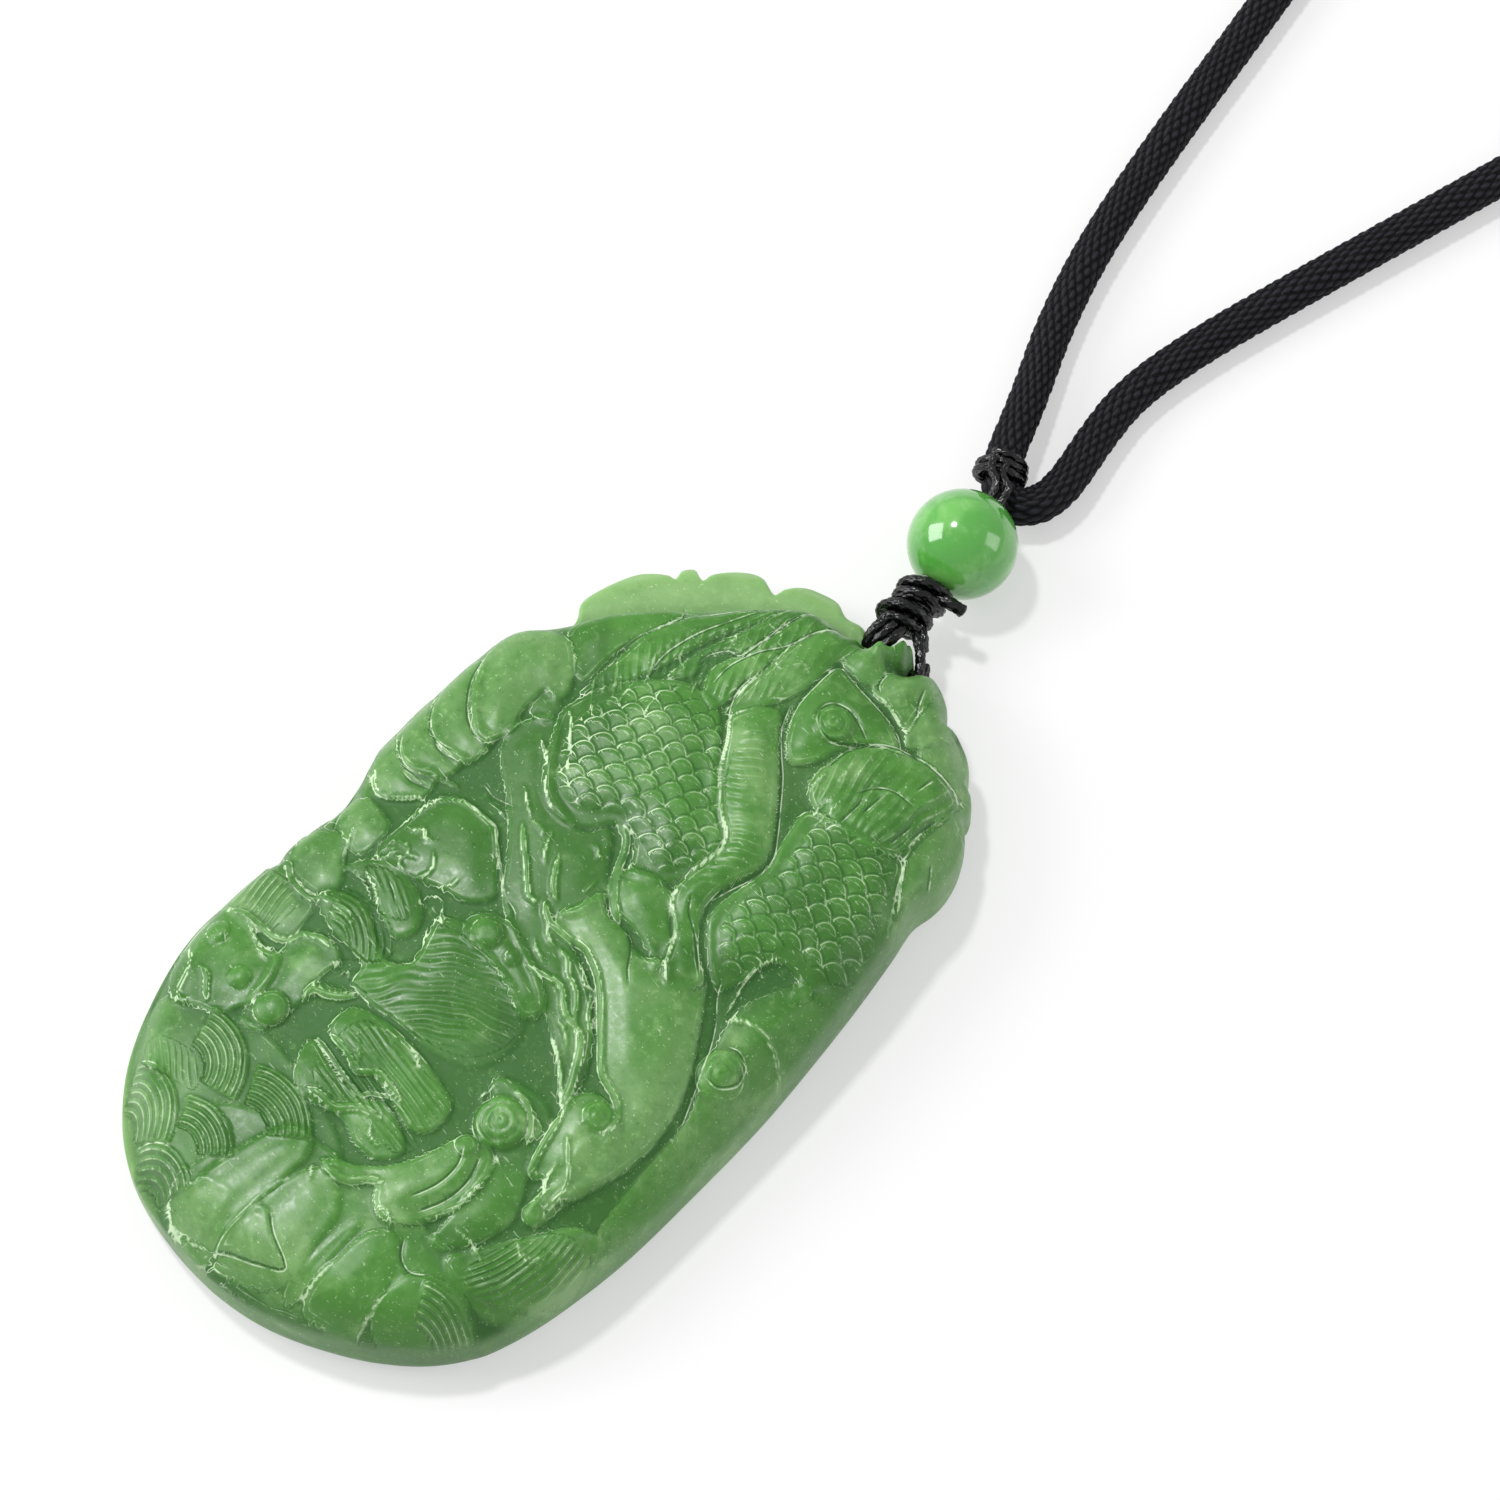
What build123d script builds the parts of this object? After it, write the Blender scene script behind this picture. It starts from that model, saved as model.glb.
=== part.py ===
from build123d import *

import os
from collections import namedtuple
from math import cos, pi, radians, sin, tan

import numpy as np

# Carved jade pendant and one jade bead, hung on a braided black neck cord.
# The pendant lies face up. Its flat back is the plane z = 0, +Z is up, +Y runs along
# the pendant towards the bead and +X is to its right. All sizes are in millimetres.

# Pendant
pendant_width = 38.0
pendant_length = 67.5
pendant_thickness = 10.4
rim_thickness = 3.2  # the thin leaf rim behind the crest
relief_depth = 2.7  # from the ground between the forms to the highest forms
side_fall = 2.2  # how much lower the front lies at the sides than in the middle
end_fall = 1.8  # and at the ends
shoulder = 3.6  # width of the smooth band along the right side and the foot
edge_inset = 0.5  # the front edge stands this far inside the widest section
back_round = 1.1  # the rounded edge of the back
thread_hole_radius = 0.9

# Bead, thread and neck cord
bead_radius = 4.0
bead_hole_radius = 0.85
thread_bundle = 1.2  # two doubled strands of thin thread, taken as one round bundle
knot_radius = 2.0
knot_length = 3.1
knot_turns = 4
binding_wire = 0.7
binding_turns = 2
cord_diameter = 2.9
closure_diameter = 5.0  # one plain curved sleeve over both cord ends, behind the neck
contact_gap = 0.05  # between pieces that touch on the real thing

# Places on the pendant's face are counted in steps, 38 across its width and 67.5 along
# its length, from the middle of the back. Heights are shares of relief_depth.
step_x = pendant_width / 38
step_y = pendant_length / 67.5
spine_low, spine_high = -15.0, 14.4  # the face is laid out around this middle line
side_rows, cap_rows, rings = 38, 70, 26

# Outline at the widest section, in steps, anticlockwise from the foot
outline = [
    (0, -34), (4, -33.4), (8, -31.9), (11.2, -30.1), (13.8, -28), (15.8, -25.4),
    (17.2, -22), (18.1, -18), (18.7, -13), (18.9, -6), (18.9, 0), (18.6, 5),
    (18.1, 10.5), (17.5, 15), (17, 18), (17.3, 20.4), (16.8, 22.8), (15.7, 24.8),
    (14.9, 25.3), (14.7, 26.5), (13.9, 27.5), (13.2, 27.7), (12.6, 28.8), (11.6, 29.6),
    (10.5, 30), (9.4, 29.7), (8.7, 30.9), (7.4, 31.8), (6, 32.1), (5, 31.7),
    (4.2, 32.4), (3.1, 33.3), (2.1, 33.5), (1.2, 32.9), (0.4, 32.4), (-1, 32.9),
    (-2.4, 32.7), (-3.7, 33.3), (-4.9, 33.2), (-6.2, 32.7), (-7.1, 31.5), (-7.4, 30.6),
    (-8.9, 31.1), (-9.9, 30.9), (-10.9, 30.1), (-11.8, 28.9), (-12, 28),
    (-13.1, 28.4), (-13.7, 27.7), (-13.5, 26.8), (-14.2, 26.7), (-15.6, 25.8),
    (-16.3, 24.7), (-17.1, 22.2), (-17.2, 20.8), (-16.5, 19.5), (-16.6, 17.6),
    (-17.8, 15.4), (-18.3, 13), (-18.6, 11), (-18.7, 8.2), (-19, 6), (-18.9, 4),
    (-18.9, 2), (-18.2, 0.2), (-17.9, -1.8), (-18, -3.6), (-18.9, -4.2), (-19, -5.4),
    (-18.3, -6.6), (-19, -7.4), (-18.9, -8.8), (-18.5, -10.5), (-18.6, -13.5),
    (-18.9, -16), (-18.6, -19.5), (-17.6, -23), (-16, -26.6), (-13.6, -29.6),
    (-11, -31.6), (-8, -32.9), (-4, -33.8),
]

# A form is a closed outline that stands up from the ground. Its level is the share of
# relief_depth at its top, its edge is the width of its rounded border, its drop is how
# far that border goes down, again as a share, and its lean tilts its top so that one
# form laps over the next.
Form = namedtuple("Form", "name level edge drop lean points")
forms = [
    Form("main body", 0.0, 1.0, 0.0, (0, 0), [
        (0, -37), (12, -33), (20, -24), (22, 0), (20, 16), (18.8, 21), (17.6, 24),
        (15.4, 27.4), (13.4, 29.2), (11.4, 30.8), (9.2, 31.2), (7.4, 33), (5.2, 32.4),
        (4.8, 30.2), (-1.1, 30.2), (-3.2, 30.2), (-6.2, 28), (-8.6, 25.6), (-10.4, 24),
        (-12.2, 22.4), (-14, 20.6), (-15.2, 18.6), (-16.4, 17), (-18.4, 15), (-20, 11),
        (-20, 1), (-18.6, -0.6), (-17.6, -3), (-18.4, -7), (-18.4, -10), (-20, -16),
        (-18, -27), (-11, -33.6),
    ]),
    Form("crest lobe 1", 0.94, 1.5, 0.56, (-0.02, -0.05), [
        (-17.8, 12), (-17.7, 13.6), (-17, 15.2), (-15.6, 16.1), (-14, 16.3), (-12.6, 15.4),
        (-11.4, 14), (-10.8, 12.6), (-11.3, 12), (-12.3, 12), (-12.3, 9.9), (-11.8, 8.4),
        (-12.4, 6.3), (-13.4, 6.1), (-14.6, 6.9), (-16, 8.4), (-17, 10),
    ]),
    Form("crest lobe 2", 0.72, 1.3, 0.48, (0, -0.08), [
        (-18.4, 10.4), (-17.4, 11.4), (-16, 9.6), (-14, 7.4), (-12.2, 6.8), (-12.3, 4.4),
        (-14, 4), (-15.8, 4.3), (-17.1, 5.3), (-18.3, 7.2),
    ]),
    Form("crest lobe 3", 0.61, 1.2, 0.48, (0, -0.08), [
        (-18.8, 7.2), (-17.6, 6.6), (-16, 4.8), (-14, 4.5), (-12.7, 4.6), (-12.8, 2.6),
        (-13.6, 1.9), (-15.2, 1.4), (-16.9, 1.8), (-18.5, 3.8),
    ]),
    Form("crest lobe 4", 0.5, 1.2, 0.48, (0, -0.08), [
        (-18.7, 3.6), (-17.2, 2.8), (-15.6, 2), (-13.6, 2.5), (-12.9, 1.2), (-13.1, 0.2),
        (-14.4, -0.9), (-15.4, -1.3), (-16.7, -1.1), (-18.1, 0.2),
    ]),
    Form("plume 1", 0.5, 1.2, 0.52, (0, 0), [
        (-14.5, 16.6), (-14.4, 18.6), (-13, 20.2), (-11.9, 21.3), (-11, 22.4), (-9.8, 23.2),
        (-9.2, 23.2), (-9.7, 21), (-10.1, 19.4), (-10.6, 17.5), (-10.6, 14.6),
        (-11.4, 14.2), (-12.8, 15.4),
    ]),
    Form("plume 2", 0.63, 1.1, 0.41, (0, 0), [
        (-10.3, 18), (-10.1, 20.2), (-9, 23), (-7.9, 24.4), (-6.4, 26.5), (-4.8, 28.2),
        (-4, 28.7), (-4.9, 26), (-6.1, 23.4), (-6.8, 21), (-7.6, 18.4), (-8.8, 15.4),
        (-10.4, 13.4),
    ]),
    Form("plume 3", 0.69, 0.9, 0.33, (0, 0), [
        (-6.7, 18.4), (-6.5, 21), (-5.8, 23.4), (-4.7, 26.2), (-4, 28.7), (-3.1, 29.7),
        (-2.6, 29.5), (-3.3, 28), (-3.5, 26.2), (-3.8, 23.8), (-4.8, 22.7), (-5.5, 21.4),
        (-5.4, 19.6),
    ]),
    Form("plume 4", 0.74, 0.9, 0.33, (0, 0), [
        (-4.8, 21), (-4, 23.4), (-3.5, 25.8), (-3.2, 27.8), (-2.6, 29.5), (-1, 30.5),
        (0.4, 30.8), (-0.5, 29.4), (-1.4, 28), (-1.8, 26), (-2, 23.6), (-2, 21),
        (-2.4, 18.8), (-3.8, 19),
    ]),
    Form("plume 5", 0.81, 0.9, 0.33, (0, 0), [
        (-1.9, 26), (-1.4, 28), (-0.4, 29.7), (1, 31), (2.4, 31.4), (1.7, 29.8),
        (1.4, 27.4), (1.3, 25), (0.8, 22.8), (-0.3, 20.6), (-1.6, 18.9), (-2, 21),
        (-1.9, 24),
    ]),
    Form("plume 6", 0.72, 0.8, 0.33, (0, 0), [
        (1.5, 31.2), (2.6, 31.7), (3.6, 31), (4.2, 29.4), (4.3, 27.6), (1.9, 27.4),
        (1.4, 28),
    ]),
    Form("ear over the thread hole", 0.55, 0.9, 1.2, (0, 0), [
        (0.8, 29), (0.9, 32), (1.4, 33.6), (2.2, 34.4), (3.2, 34), (4.2, 32.9),
        (4.3, 29),
    ]),
    Form("right crest 1", 0.59, 1.3, 0.59, (0, 0), [
        (4.3, 28), (4.4, 29.8), (5.2, 31.4), (6.2, 32), (7.2, 31.6), (7.8, 30), (8.2, 28),
        (8.4, 26.6), (6.8, 27), (4.8, 27.2),
    ]),
    Form("right crest 2", 0.54, 1.3, 0.59, (0, 0), [
        (7, 31.8), (8.2, 31.5), (9.8, 30.4), (10.8, 29), (10.4, 27.4), (9.4, 25.9),
        (8.4, 26.4), (8.2, 28), (7.6, 30),
    ]),
    Form("right crest 3", 0.48, 1.2, 0.52, (0, 0), [
        (10.6, 29.2), (11.8, 29.3), (13, 28.8), (14.2, 27.4), (14.9, 26.2), (13.8, 25.9),
        (12, 26), (10.4, 25.7), (9.8, 26.8),
    ]),
    Form("right crest 4", 0.52, 0.9, 0.44, (0, 0), [
        (14.2, 26.5), (15.4, 26), (16.1, 25), (16.3, 24), (15.2, 23.5), (14, 24.4),
    ]),
    Form("leaf", 0.65, 1, 0.56, (0, 0), [
        (14.5, 24.6), (16, 24.3), (17.3, 23), (18.1, 21), (18.4, 18.8), (18.3, 16.5),
        (18.8, 14), (19.1, 11), (18.3, 12.4), (17.4, 14.4), (16.2, 16.6), (15.1, 18.6),
        (14.6, 19.6), (14.3, 21.4),
    ]),
    Form("ruyi", 0.8, 0.7, 0.44, (0, 0), [
        (1.6, 27.2), (4, 26.9), (6.6, 26.6), (8.8, 25.6), (9.3, 25.2), (8, 24.6), (7, 23.8),
        (6, 22.2), (5.6, 20.6), (4.4, 19.2), (3.2, 19.8), (2.2, 21.4), (1.6, 23), (1.5, 25),
    ]),
    Form("feather arch", 0.69, 0.8, 0.41, (0, 0), [
        (6.1, 21), (6.6, 23), (8.4, 24.9), (10, 25.7), (12, 26.1), (14, 25.9), (14.5, 24.4),
        (14.5, 21), (14.4, 19), (11, 17.7), (8, 17.6), (6.2, 18.8),
    ]),
    Form("feather arch inner", 0.83, 0.7, 0.33, (0, 0), [
        (8.3, 18.6), (8.7, 20.4), (9.6, 21.8), (11, 22.7), (12.6, 23), (13.9, 22.8),
        (14.3, 21), (14.2, 19.2), (12.6, 18.2), (10.4, 17.8),
    ]),
    Form("belly strip", 1.04, 0.7, 0.44, (0, 0), [
        (-1.2, 18.9), (-0.4, 20.6), (0.8, 21.6), (2, 20.8), (3.5, 18.9), (5.9, 16),
        (7.6, 13.5), (8.1, 11.6), (7.5, 9.6), (7.3, 7.6), (7.9, 5.8), (9.4, 4.2), (11, 2.6),
        (9.6, 0.8), (8.2, 1.8), (7.2, 4), (5.8, 5.2), (4.9, 6.6), (4.8, 8.2), (5.1, 9.7),
        (5.1, 11.1), (4.5, 12.1), (3.2, 12.9), (1, 15.6), (-0.4, 17.7),
    ]),
    Form("left coil", 0.72, 2.2, 0.52, (0, 0), [
        (-7.4, 17.6), (-5, 19.2), (-2.4, 19), (-1, 17.8), (0.8, 15.6), (3, 13.1),
        (4.6, 12.1), (5.1, 10.8), (5, 9.4), (4.7, 7.4), (3.6, 5.8), (1.9, 5.2), (0.9, 6.6),
        (0, 7.6), (-1.4, 7.4), (-2.6, 6), (-4.4, 5.2), (-6.2, 5.6), (-7.9, 7), (-9.4, 9.6),
        (-10.4, 12), (-9.4, 14.8),
    ]),
    Form("right coil", 0.74, 2.4, 0.56, (0, 0), [
        (7.4, 17.2), (9.4, 18), (12, 18.8), (14.6, 19.2), (15.8, 17.4), (17.4, 14.4),
        (18.4, 11.4), (18.2, 8.6), (16.4, 7.4), (14.2, 7.8), (13.2, 7), (12.8, 5),
        (12, 3.2), (10.8, 3.6), (9, 5.2), (7.8, 7), (8, 9.6), (8.4, 12), (7.8, 14.4),
    ]),
    Form("wave over the coil", 0.74, 0.8, 0.41, (0, 0), [
        (1.2, 5.2), (2, 3.7), (3, 2.5), (4.8, 2.4), (6.6, 1.9), (8, 1), (7.8, 3),
        (6.2, 4.6), (5, 6.2), (3.6, 6.4), (2.2, 6),
    ]),
    Form("tail wave", 0.93, 1.6, 0.78, (0, 0), [
        (0.2, -0.3), (0.8, 1), (1.4, 3), (2.2, 2.6), (3, 2.1), (4.6, 2), (6.2, 1.4),
        (8, 2.2), (9.4, 3.6), (10.8, 3.4), (12.2, 1.5), (13.4, -0.4), (14.6, -2.2),
        (15.5, -4.4), (16, -6.6), (16.1, -9), (15.6, -12), (14.6, -14.6), (13.4, -16.6),
        (12.8, -16.2), (13.3, -13.8), (12.5, -11.6), (13.2, -9.4), (13, -8), (11.6, -7.3),
        (10, -6.8), (8.8, -5.4), (7.4, -3.9), (6, -2.6), (4.6, -1.4), (3, -0.9),
        (1.2, -1.1),
    ]),
    Form("tail end", 0.78, 1.1, 0.59, (0, 0), [
        (9.9, -9.6), (10.2, -8.4), (11.4, -7.8), (13, -8), (14.8, -10), (15.2, -13),
        (14.6, -15.6), (14.4, -17.4), (13.4, -17.8), (12.8, -16.8), (12.4, -15),
        (11.6, -15.4), (10.8, -14), (10.3, -11.8),
    ]),
    Form("flame bank", 0.5, 1.6, 0.52, (0, 0), [
        (-10.4, 11), (-8.6, 9.6), (-6.4, 6.8), (-3, 5.6), (-1.4, 7), (0.6, 4.6), (2, 3),
        (1.6, 0.6), (0.2, -0.4), (3, -1.4), (6.2, -3.2), (9, -6.4), (10.2, -10.6),
        (6.4, -7.4), (3, -5.4), (-0.4, -3.8), (-3.4, -2), (-6, 1.4), (-8.6, 4),
        (-11.6, 6.6), (-12, 9),
    ]),
    Form("socket", 0.57, 1.3, 0.48, (0, 0), [
        (-12.7, -1.6), (-12.5, 0.6), (-11.4, 1.9), (-9.6, 2.2), (-7.6, 1.9), (-6.2, 0.8),
        (-5, -0.6), (-3.8, -2), (-5, -3.6), (-7.4, -4.2), (-9.6, -4.8), (-12.6, -5),
    ]),
    Form("cheek", 0.72, 1.1, 0.44, (0, 0), [
        (-13.5, -6.8), (-12.6, -5.4), (-10.6, -4.8), (-8.4, -5.1), (-7, -6), (-6.2, -7.4),
        (-7, -8.8), (-8.6, -8.4), (-9.8, -7.9), (-11, -6.9), (-12.4, -6.9),
    ]),
    Form("mane", 0.8, 1.5, 0.59, (0, 0), [
        (-13.4, -9.8), (-12.2, -8.5), (-10, -8.3), (-8, -9.6), (-6.2, -10.3), (-4.9, -9.4),
        (-5.4, -7.4), (-5.8, -5.8), (-4.4, -4.9), (-2.6, -5.1), (-0.6, -5.6), (1.6, -6),
        (3.8, -7.2), (4.6, -9.6), (3.6, -12.2), (0.8, -13.3), (-2.4, -13.4), (-5, -13.6),
        (-7, -13.2), (-7.4, -11.8), (-9.4, -11.4), (-11.6, -11),
    ]),
    Form("brow", 0.81, 0.9, 0.44, (0, 0), [
        (-4.2, -4.4), (-3.4, -3.2), (-1.8, -2.8), (0, -3.4), (2.4, -4.4), (4.4, -6),
        (3.4, -7.4), (1, -6.4), (-1.4, -5.8), (-3.4, -5.8),
    ]),
    Form("upper jaw", 0.74, 1, 0.48, (0, 0), [
        (-5.6, -14.4), (-3, -13.7), (0, -13.9), (2.4, -14.4), (4.4, -15.2), (4.6, -17.4),
        (3.2, -18.4), (1.2, -17.8), (-0.6, -17.3), (-2.2, -17.6), (-4.6, -17.2),
        (-6, -16.4),
    ]),
    Form("lower jaw", 0.69, 0.9, 0.44, (0, 0), [
        (-6.2, -17.8), (-3.4, -18.6), (-0.9, -18.9), (0.8, -18.1), (2.8, -18.6),
        (4.2, -19.8), (3.2, -21.4), (1.2, -21.6), (-0.4, -20.9), (-2, -21.1), (-4, -21.4),
        (-5.8, -20),
    ]),
    Form("cloud 1", 0.52, 1, 0.44, (0, 0), [
        (-17.5, -3.6), (-17, -2.5), (-15.8, -2), (-14.2, -2.2), (-13.2, -2.6),
        (-12.9, -3.8), (-13, -5.2), (-13.8, -6), (-14.8, -5.6), (-16, -5), (-17, -4.8),
    ]),
    Form("cloud 2", 0.48, 1.1, 0.44, (0, 0), [
        (-18, -6.4), (-16.8, -5.5), (-15, -5.2), (-14, -6.6), (-13.2, -7.3), (-12.6, -8.6),
        (-13.2, -9.8), (-15, -9.9), (-17, -9.5), (-18.1, -8.4),
    ]),
    Form("comb bank", 0.35, 0.8, 0.3, (0, 0), [
        (-18.6, -9.6), (-16, -9.8), (-13.2, -10.1), (-12.6, -12), (-12.8, -13.8),
        (-14.8, -14.5), (-18.6, -14.4),
    ]),
    Form("foam bank", 0.44, 1.2, 0.37, (0, 0), [
        (-12.6, -14), (-12, -12.4), (-10.2, -11.6), (-8.6, -12.4), (-8.8, -14),
        (-8.6, -16.6), (-9.2, -19.6), (-11, -20), (-12, -17),
    ]),
    Form("beast", 0.67, 1.5, 0.52, (0, 0), [
        (-18.5, -15.6), (-17.8, -14.2), (-15.8, -13.9), (-13.8, -15), (-12.4, -14.7),
        (-11.6, -15.6), (-11.2, -17), (-11.4, -19), (-12.6, -20.8), (-14, -21.2),
        (-15.8, -21.8), (-17.6, -20.4), (-18.4, -18),
    ]),
    Form("scallop bank", 0.3, 1.6, 0.33, (0, 0), [
        (-17, -22), (-14, -21), (-11.6, -19.8), (-8, -19.6), (-4, -20.6), (0, -21.8),
        (2, -24), (-1, -26), (-4, -30), (-6, -34), (-12, -32), (-16.6, -27),
    ]),
    Form("wave scallop 1", 0.43, 1.2, 0.3, (0, 0), [
        (-14.1, -24.2), (-13, -21.8), (-10.6, -20.8), (-8.2, -21.8), (-7.1, -24.2),
        (-9.2, -25.6), (-12, -25.6),
    ]),
    Form("wave scallop 2", 0.43, 1.2, 0.3, (0, 0), [
        (-9, -25.3), (-7.8, -22.5), (-5, -21.4), (-2.2, -22.5), (-1, -25.3), (-3.4, -26.9),
        (-6.6, -26.9),
    ]),
    Form("wave scallop 3", 0.41, 1.2, 0.3, (0, 0), [
        (-17.3, -26.6), (-16.3, -24.2), (-13.9, -23.3), (-11.5, -24.2), (-10.5, -26.6),
        (-12.5, -28), (-15.3, -28),
    ]),
    Form("wave scallop 4", 0.5, 1.2, 0.3, (0, 0), [
        (-11.9, -29.2), (-10.8, -26.6), (-8.2, -25.6), (-5.6, -26.6), (-4.5, -29.2),
        (-6.7, -30.7), (-9.7, -30.7),
    ]),
    Form("wave scallop 5", 0.48, 1.2, 0.3, (0, 0), [
        (-16, -30), (-14.9, -27.5), (-12.4, -26.5), (-9.9, -27.5), (-8.8, -30),
        (-11, -31.4), (-13.8, -31.4),
    ]),
    Form("wave scallop 6", 0.56, 1.2, 0.3, (0, 0), [
        (-12, -33.5), (-10.9, -30.8), (-8.2, -29.8), (-5.5, -30.8), (-4.4, -33.5),
        (-6.7, -35), (-9.7, -35),
    ]),
    Form("left rock", 0.94, 1, 0.67, (0, 0), [
        (-5.7, -33), (-5.2, -30.4), (-4.5, -27.2), (-3.7, -24.8), (-2.5, -23.3),
        (-1.3, -23.1), (-0.4, -24.4), (-0.5, -27), (-0.9, -30), (-1.1, -33.6), (-3.4, -34),
    ]),
    Form("middle rock", 0.83, 1.1, 0.59, (0, 0), [
        (-0.9, -33.4), (-0.8, -30), (-0.4, -26.6), (0.2, -24.7), (1.4, -24.2), (3, -24.8),
        (4, -26.2), (4.2, -28.6), (4.5, -31), (3.4, -32.6), (1, -33.4),
    ]),
    Form("claw 1", 0.74, 0.8, 0.52, (0, 0), [
        (4.5, -32), (4.6, -28), (4.9, -25.6), (5.5, -25.2), (5.7, -28.4), (5.6, -31.8),
    ]),
    Form("claw 2", 0.85, 1.2, 0.56, (0, 0), [
        (6, -31.8), (5.9, -28), (6.2, -25.6), (7.4, -24.4), (8.8, -25.2), (9.5, -27),
        (9.9, -29), (9.8, -31), (8, -31.8),
    ]),
    Form("fore leg", 0.93, 1.3, 0.63, (0, 0), [
        (6.1, -16.6), (7.1, -15.6), (8.7, -15.7), (9.5, -17), (9.7, -19), (9.2, -21.2),
        (8, -23.2), (6.4, -24.3), (5, -23.7), (4.2, -22.8), (2.6, -24), (1, -24.3),
        (0.5, -23.7), (2.8, -22.2), (4.4, -20.6), (5.4, -18.6),
    ]),
    Form("leg bank", 0.5, 1.3, 0.41, (0, 0), [
        (5, -12), (8, -10.6), (10.2, -11.6), (11.6, -15.4), (12.8, -18), (12, -21.4),
        (9.6, -23), (9, -16),
    ]),
    Form("water bank", 0.57, 1.4, 0.44, (0, 0), [
        (14.4, -17.8), (16, -15.6), (18.2, -15), (18.6, -19), (17.4, -22.4), (15.6, -24.2),
        (13.2, -24.2), (11.2, -23.2), (12.8, -20.4),
    ]),
    Form("right scallops", 0.63, 1.2, 0.44, (0, 0), [
        (10.2, -29.6), (10.1, -26), (11.4, -24.8), (13.8, -24.3), (16, -25), (16.9, -26),
        (15.2, -28), (12.6, -29.8),
    ]),
    Form("side bank", 0.52, 1.6, 0.37, (0, 0), [
        (13.8, 2.6), (14.4, 5.4), (16, 8), (19, 9), (20, 0), (20, -14), (17.4, -15.4),
        (16.6, -9), (16.4, -5), (15, -1.6),
    ]),
]

# A stroke is a rounded ridge along a line of points, each with its half width.
Stroke = namedtuple("Stroke", "name level points")
strokes = [
    Stroke("flame strand 1", 0.9, [(-12, 12, 0.5), (-9, 8.6, 0.9), (-6, 5, 0.8), (-3, 1.6, 0.5)]),
    Stroke("flame strand 2", 0.85, [(-8.4, 5.6, 0.4), (-5, 2.6, 0.9), (-2, -0.6, 0.9), (2, -2, 0.5)]),
    Stroke("flame strand 3", 0.95, [(-4, 4.4, 0.4), (-1, 1.4, 0.9), (3, -2.2, 0.9), (7.6, -5.6, 0.5)]),
    Stroke("flame strand 4", 0.8, [(1, -3.4, 0.4), (4, -4.4, 0.8), (7.6, -6.4, 0.8), (9.6, -10, 0.4)]),
    Stroke("tail strand 1", 0.8, [(10.4, -9, 0.4), (10.8, -12, 0.8), (11.4, -15.4, 0.4)]),
    Stroke("tail strand 2", 0.85, [(12, -10.6, 0.5), (13.4, -13, 0.8), (13.2, -16.6, 0.6)]),
    Stroke("cheek cloud", 0.75, [(-13, -6.6, 0.6), (-10, -7.4, 0.9), (-7.4, -9, 0.6)]),
    Stroke("whisker ridge", 0.8, [(-17.6, -10, 0.4), (-13.4, -10.2, 0.7), (-10, -10, 0.6), (-7, -11, 0.4)]),
    Stroke("beard curl", 0.75, [(-12.4, -14.2, 0.5), (-10.6, -12.2, 0.8), (-6.4, -13.6, 0.8), (-8.8, -16, 0.5)]),
    Stroke("cloud band", 0.5, [(14, 2.4, 0.5), (17, 3, 0.7), (18.6, 1, 0.5)]),
]

# A boss is a round button of its own
Boss = namedtuple("Boss", "name level x y radius")
bosses = [
    Boss("pearl", 0.95, -10, -18.2, 1.5),
    Boss("leg curl", 1.05, 7.4, -13.8, 1.5),
    Boss("cloud curl", 0.6, 16, -0.8, 1.4),
    Boss("brow boss", 0.95, -1.4, -4.6, 1.5),
    Boss("ruyi eye", 1.0, 4.7, 23.3, 1.5),
    Boss("beast eye", 0.75, -13.2, -17.7, 0.9),
    Boss("left bud 1", 0.2, -18.3, -5.2, 1.1),
    Boss("left bud 2", 0.15, -18.4, -8.2, 1.0),
]

# The thread line: it runs from the knot through the bead to the binding on the cord
thread_lean = 7.3  # degrees that the thread line leans to the left of +Y
thread_hole = Vector(2.3 * step_x, 31.3 * step_y, 4.4)
thread_hole_length = 8.0
knot_side = -1.04  # from the thread hole to the foot of the knot
knot_rise = 3.66
bead_rise = bead_radius + contact_gap + knot_length
bead_centre = Vector(
    thread_hole.X + knot_side - bead_rise * sin(radians(thread_lean)),
    thread_hole.Y + knot_rise + bead_rise * cos(radians(thread_lean)),
    bead_radius,
)
string_plane = Plane(
    origin=bead_centre,
    x_dir=Vector(cos(radians(thread_lean)), sin(radians(thread_lean)), 0),
    z_dir=Vector(-sin(radians(thread_lean)), cos(radians(thread_lean)), 0),
)
knot_top = -bead_radius - contact_gap
knot_foot = knot_top - knot_length
leg_spacing = 1.15  # half the distance between the two legs under the knot
leg_run = 0.5


# Neck cord: one cord folded over the thread, held here as two halves that meet under
# the binding. The route points are chosen by hand, in millimetres.
cord_floor = cord_diameter / 2
fold_height = 2.25
closure_height = closure_diameter / 2
route_bead = Vector(0.35, 42.05, 0)  # where the bead lies on the plan of the routes
string_step = Vector(bead_centre.X, bead_centre.Y, 0) - route_bead
cord_joint = Vector(-1.75, 49.8, fold_height) + string_step
left_run = [
    (-2.95, 52, fold_height), (-4.9, 55.8, 1.7), (-7.3, 61.2, cord_floor),
    (-9.3, 68.4, cord_floor), (-11.2, 79, cord_floor), (-13.2, 91.6, cord_floor),
    (-15.5, 106, cord_floor), (-17, 124, cord_floor), (-17.5, 143, cord_floor),
    (-17.1, 163, cord_floor), (-17.4, 184, cord_floor), (-17.2, 203, cord_floor),
    (-17.4, 218.3, cord_floor), (-17.3, 229.3, cord_floor), (-17, 236.3, cord_floor),
    (-14.8, 241.7, closure_height), (-11.4, 245.1, closure_height),
]
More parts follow.
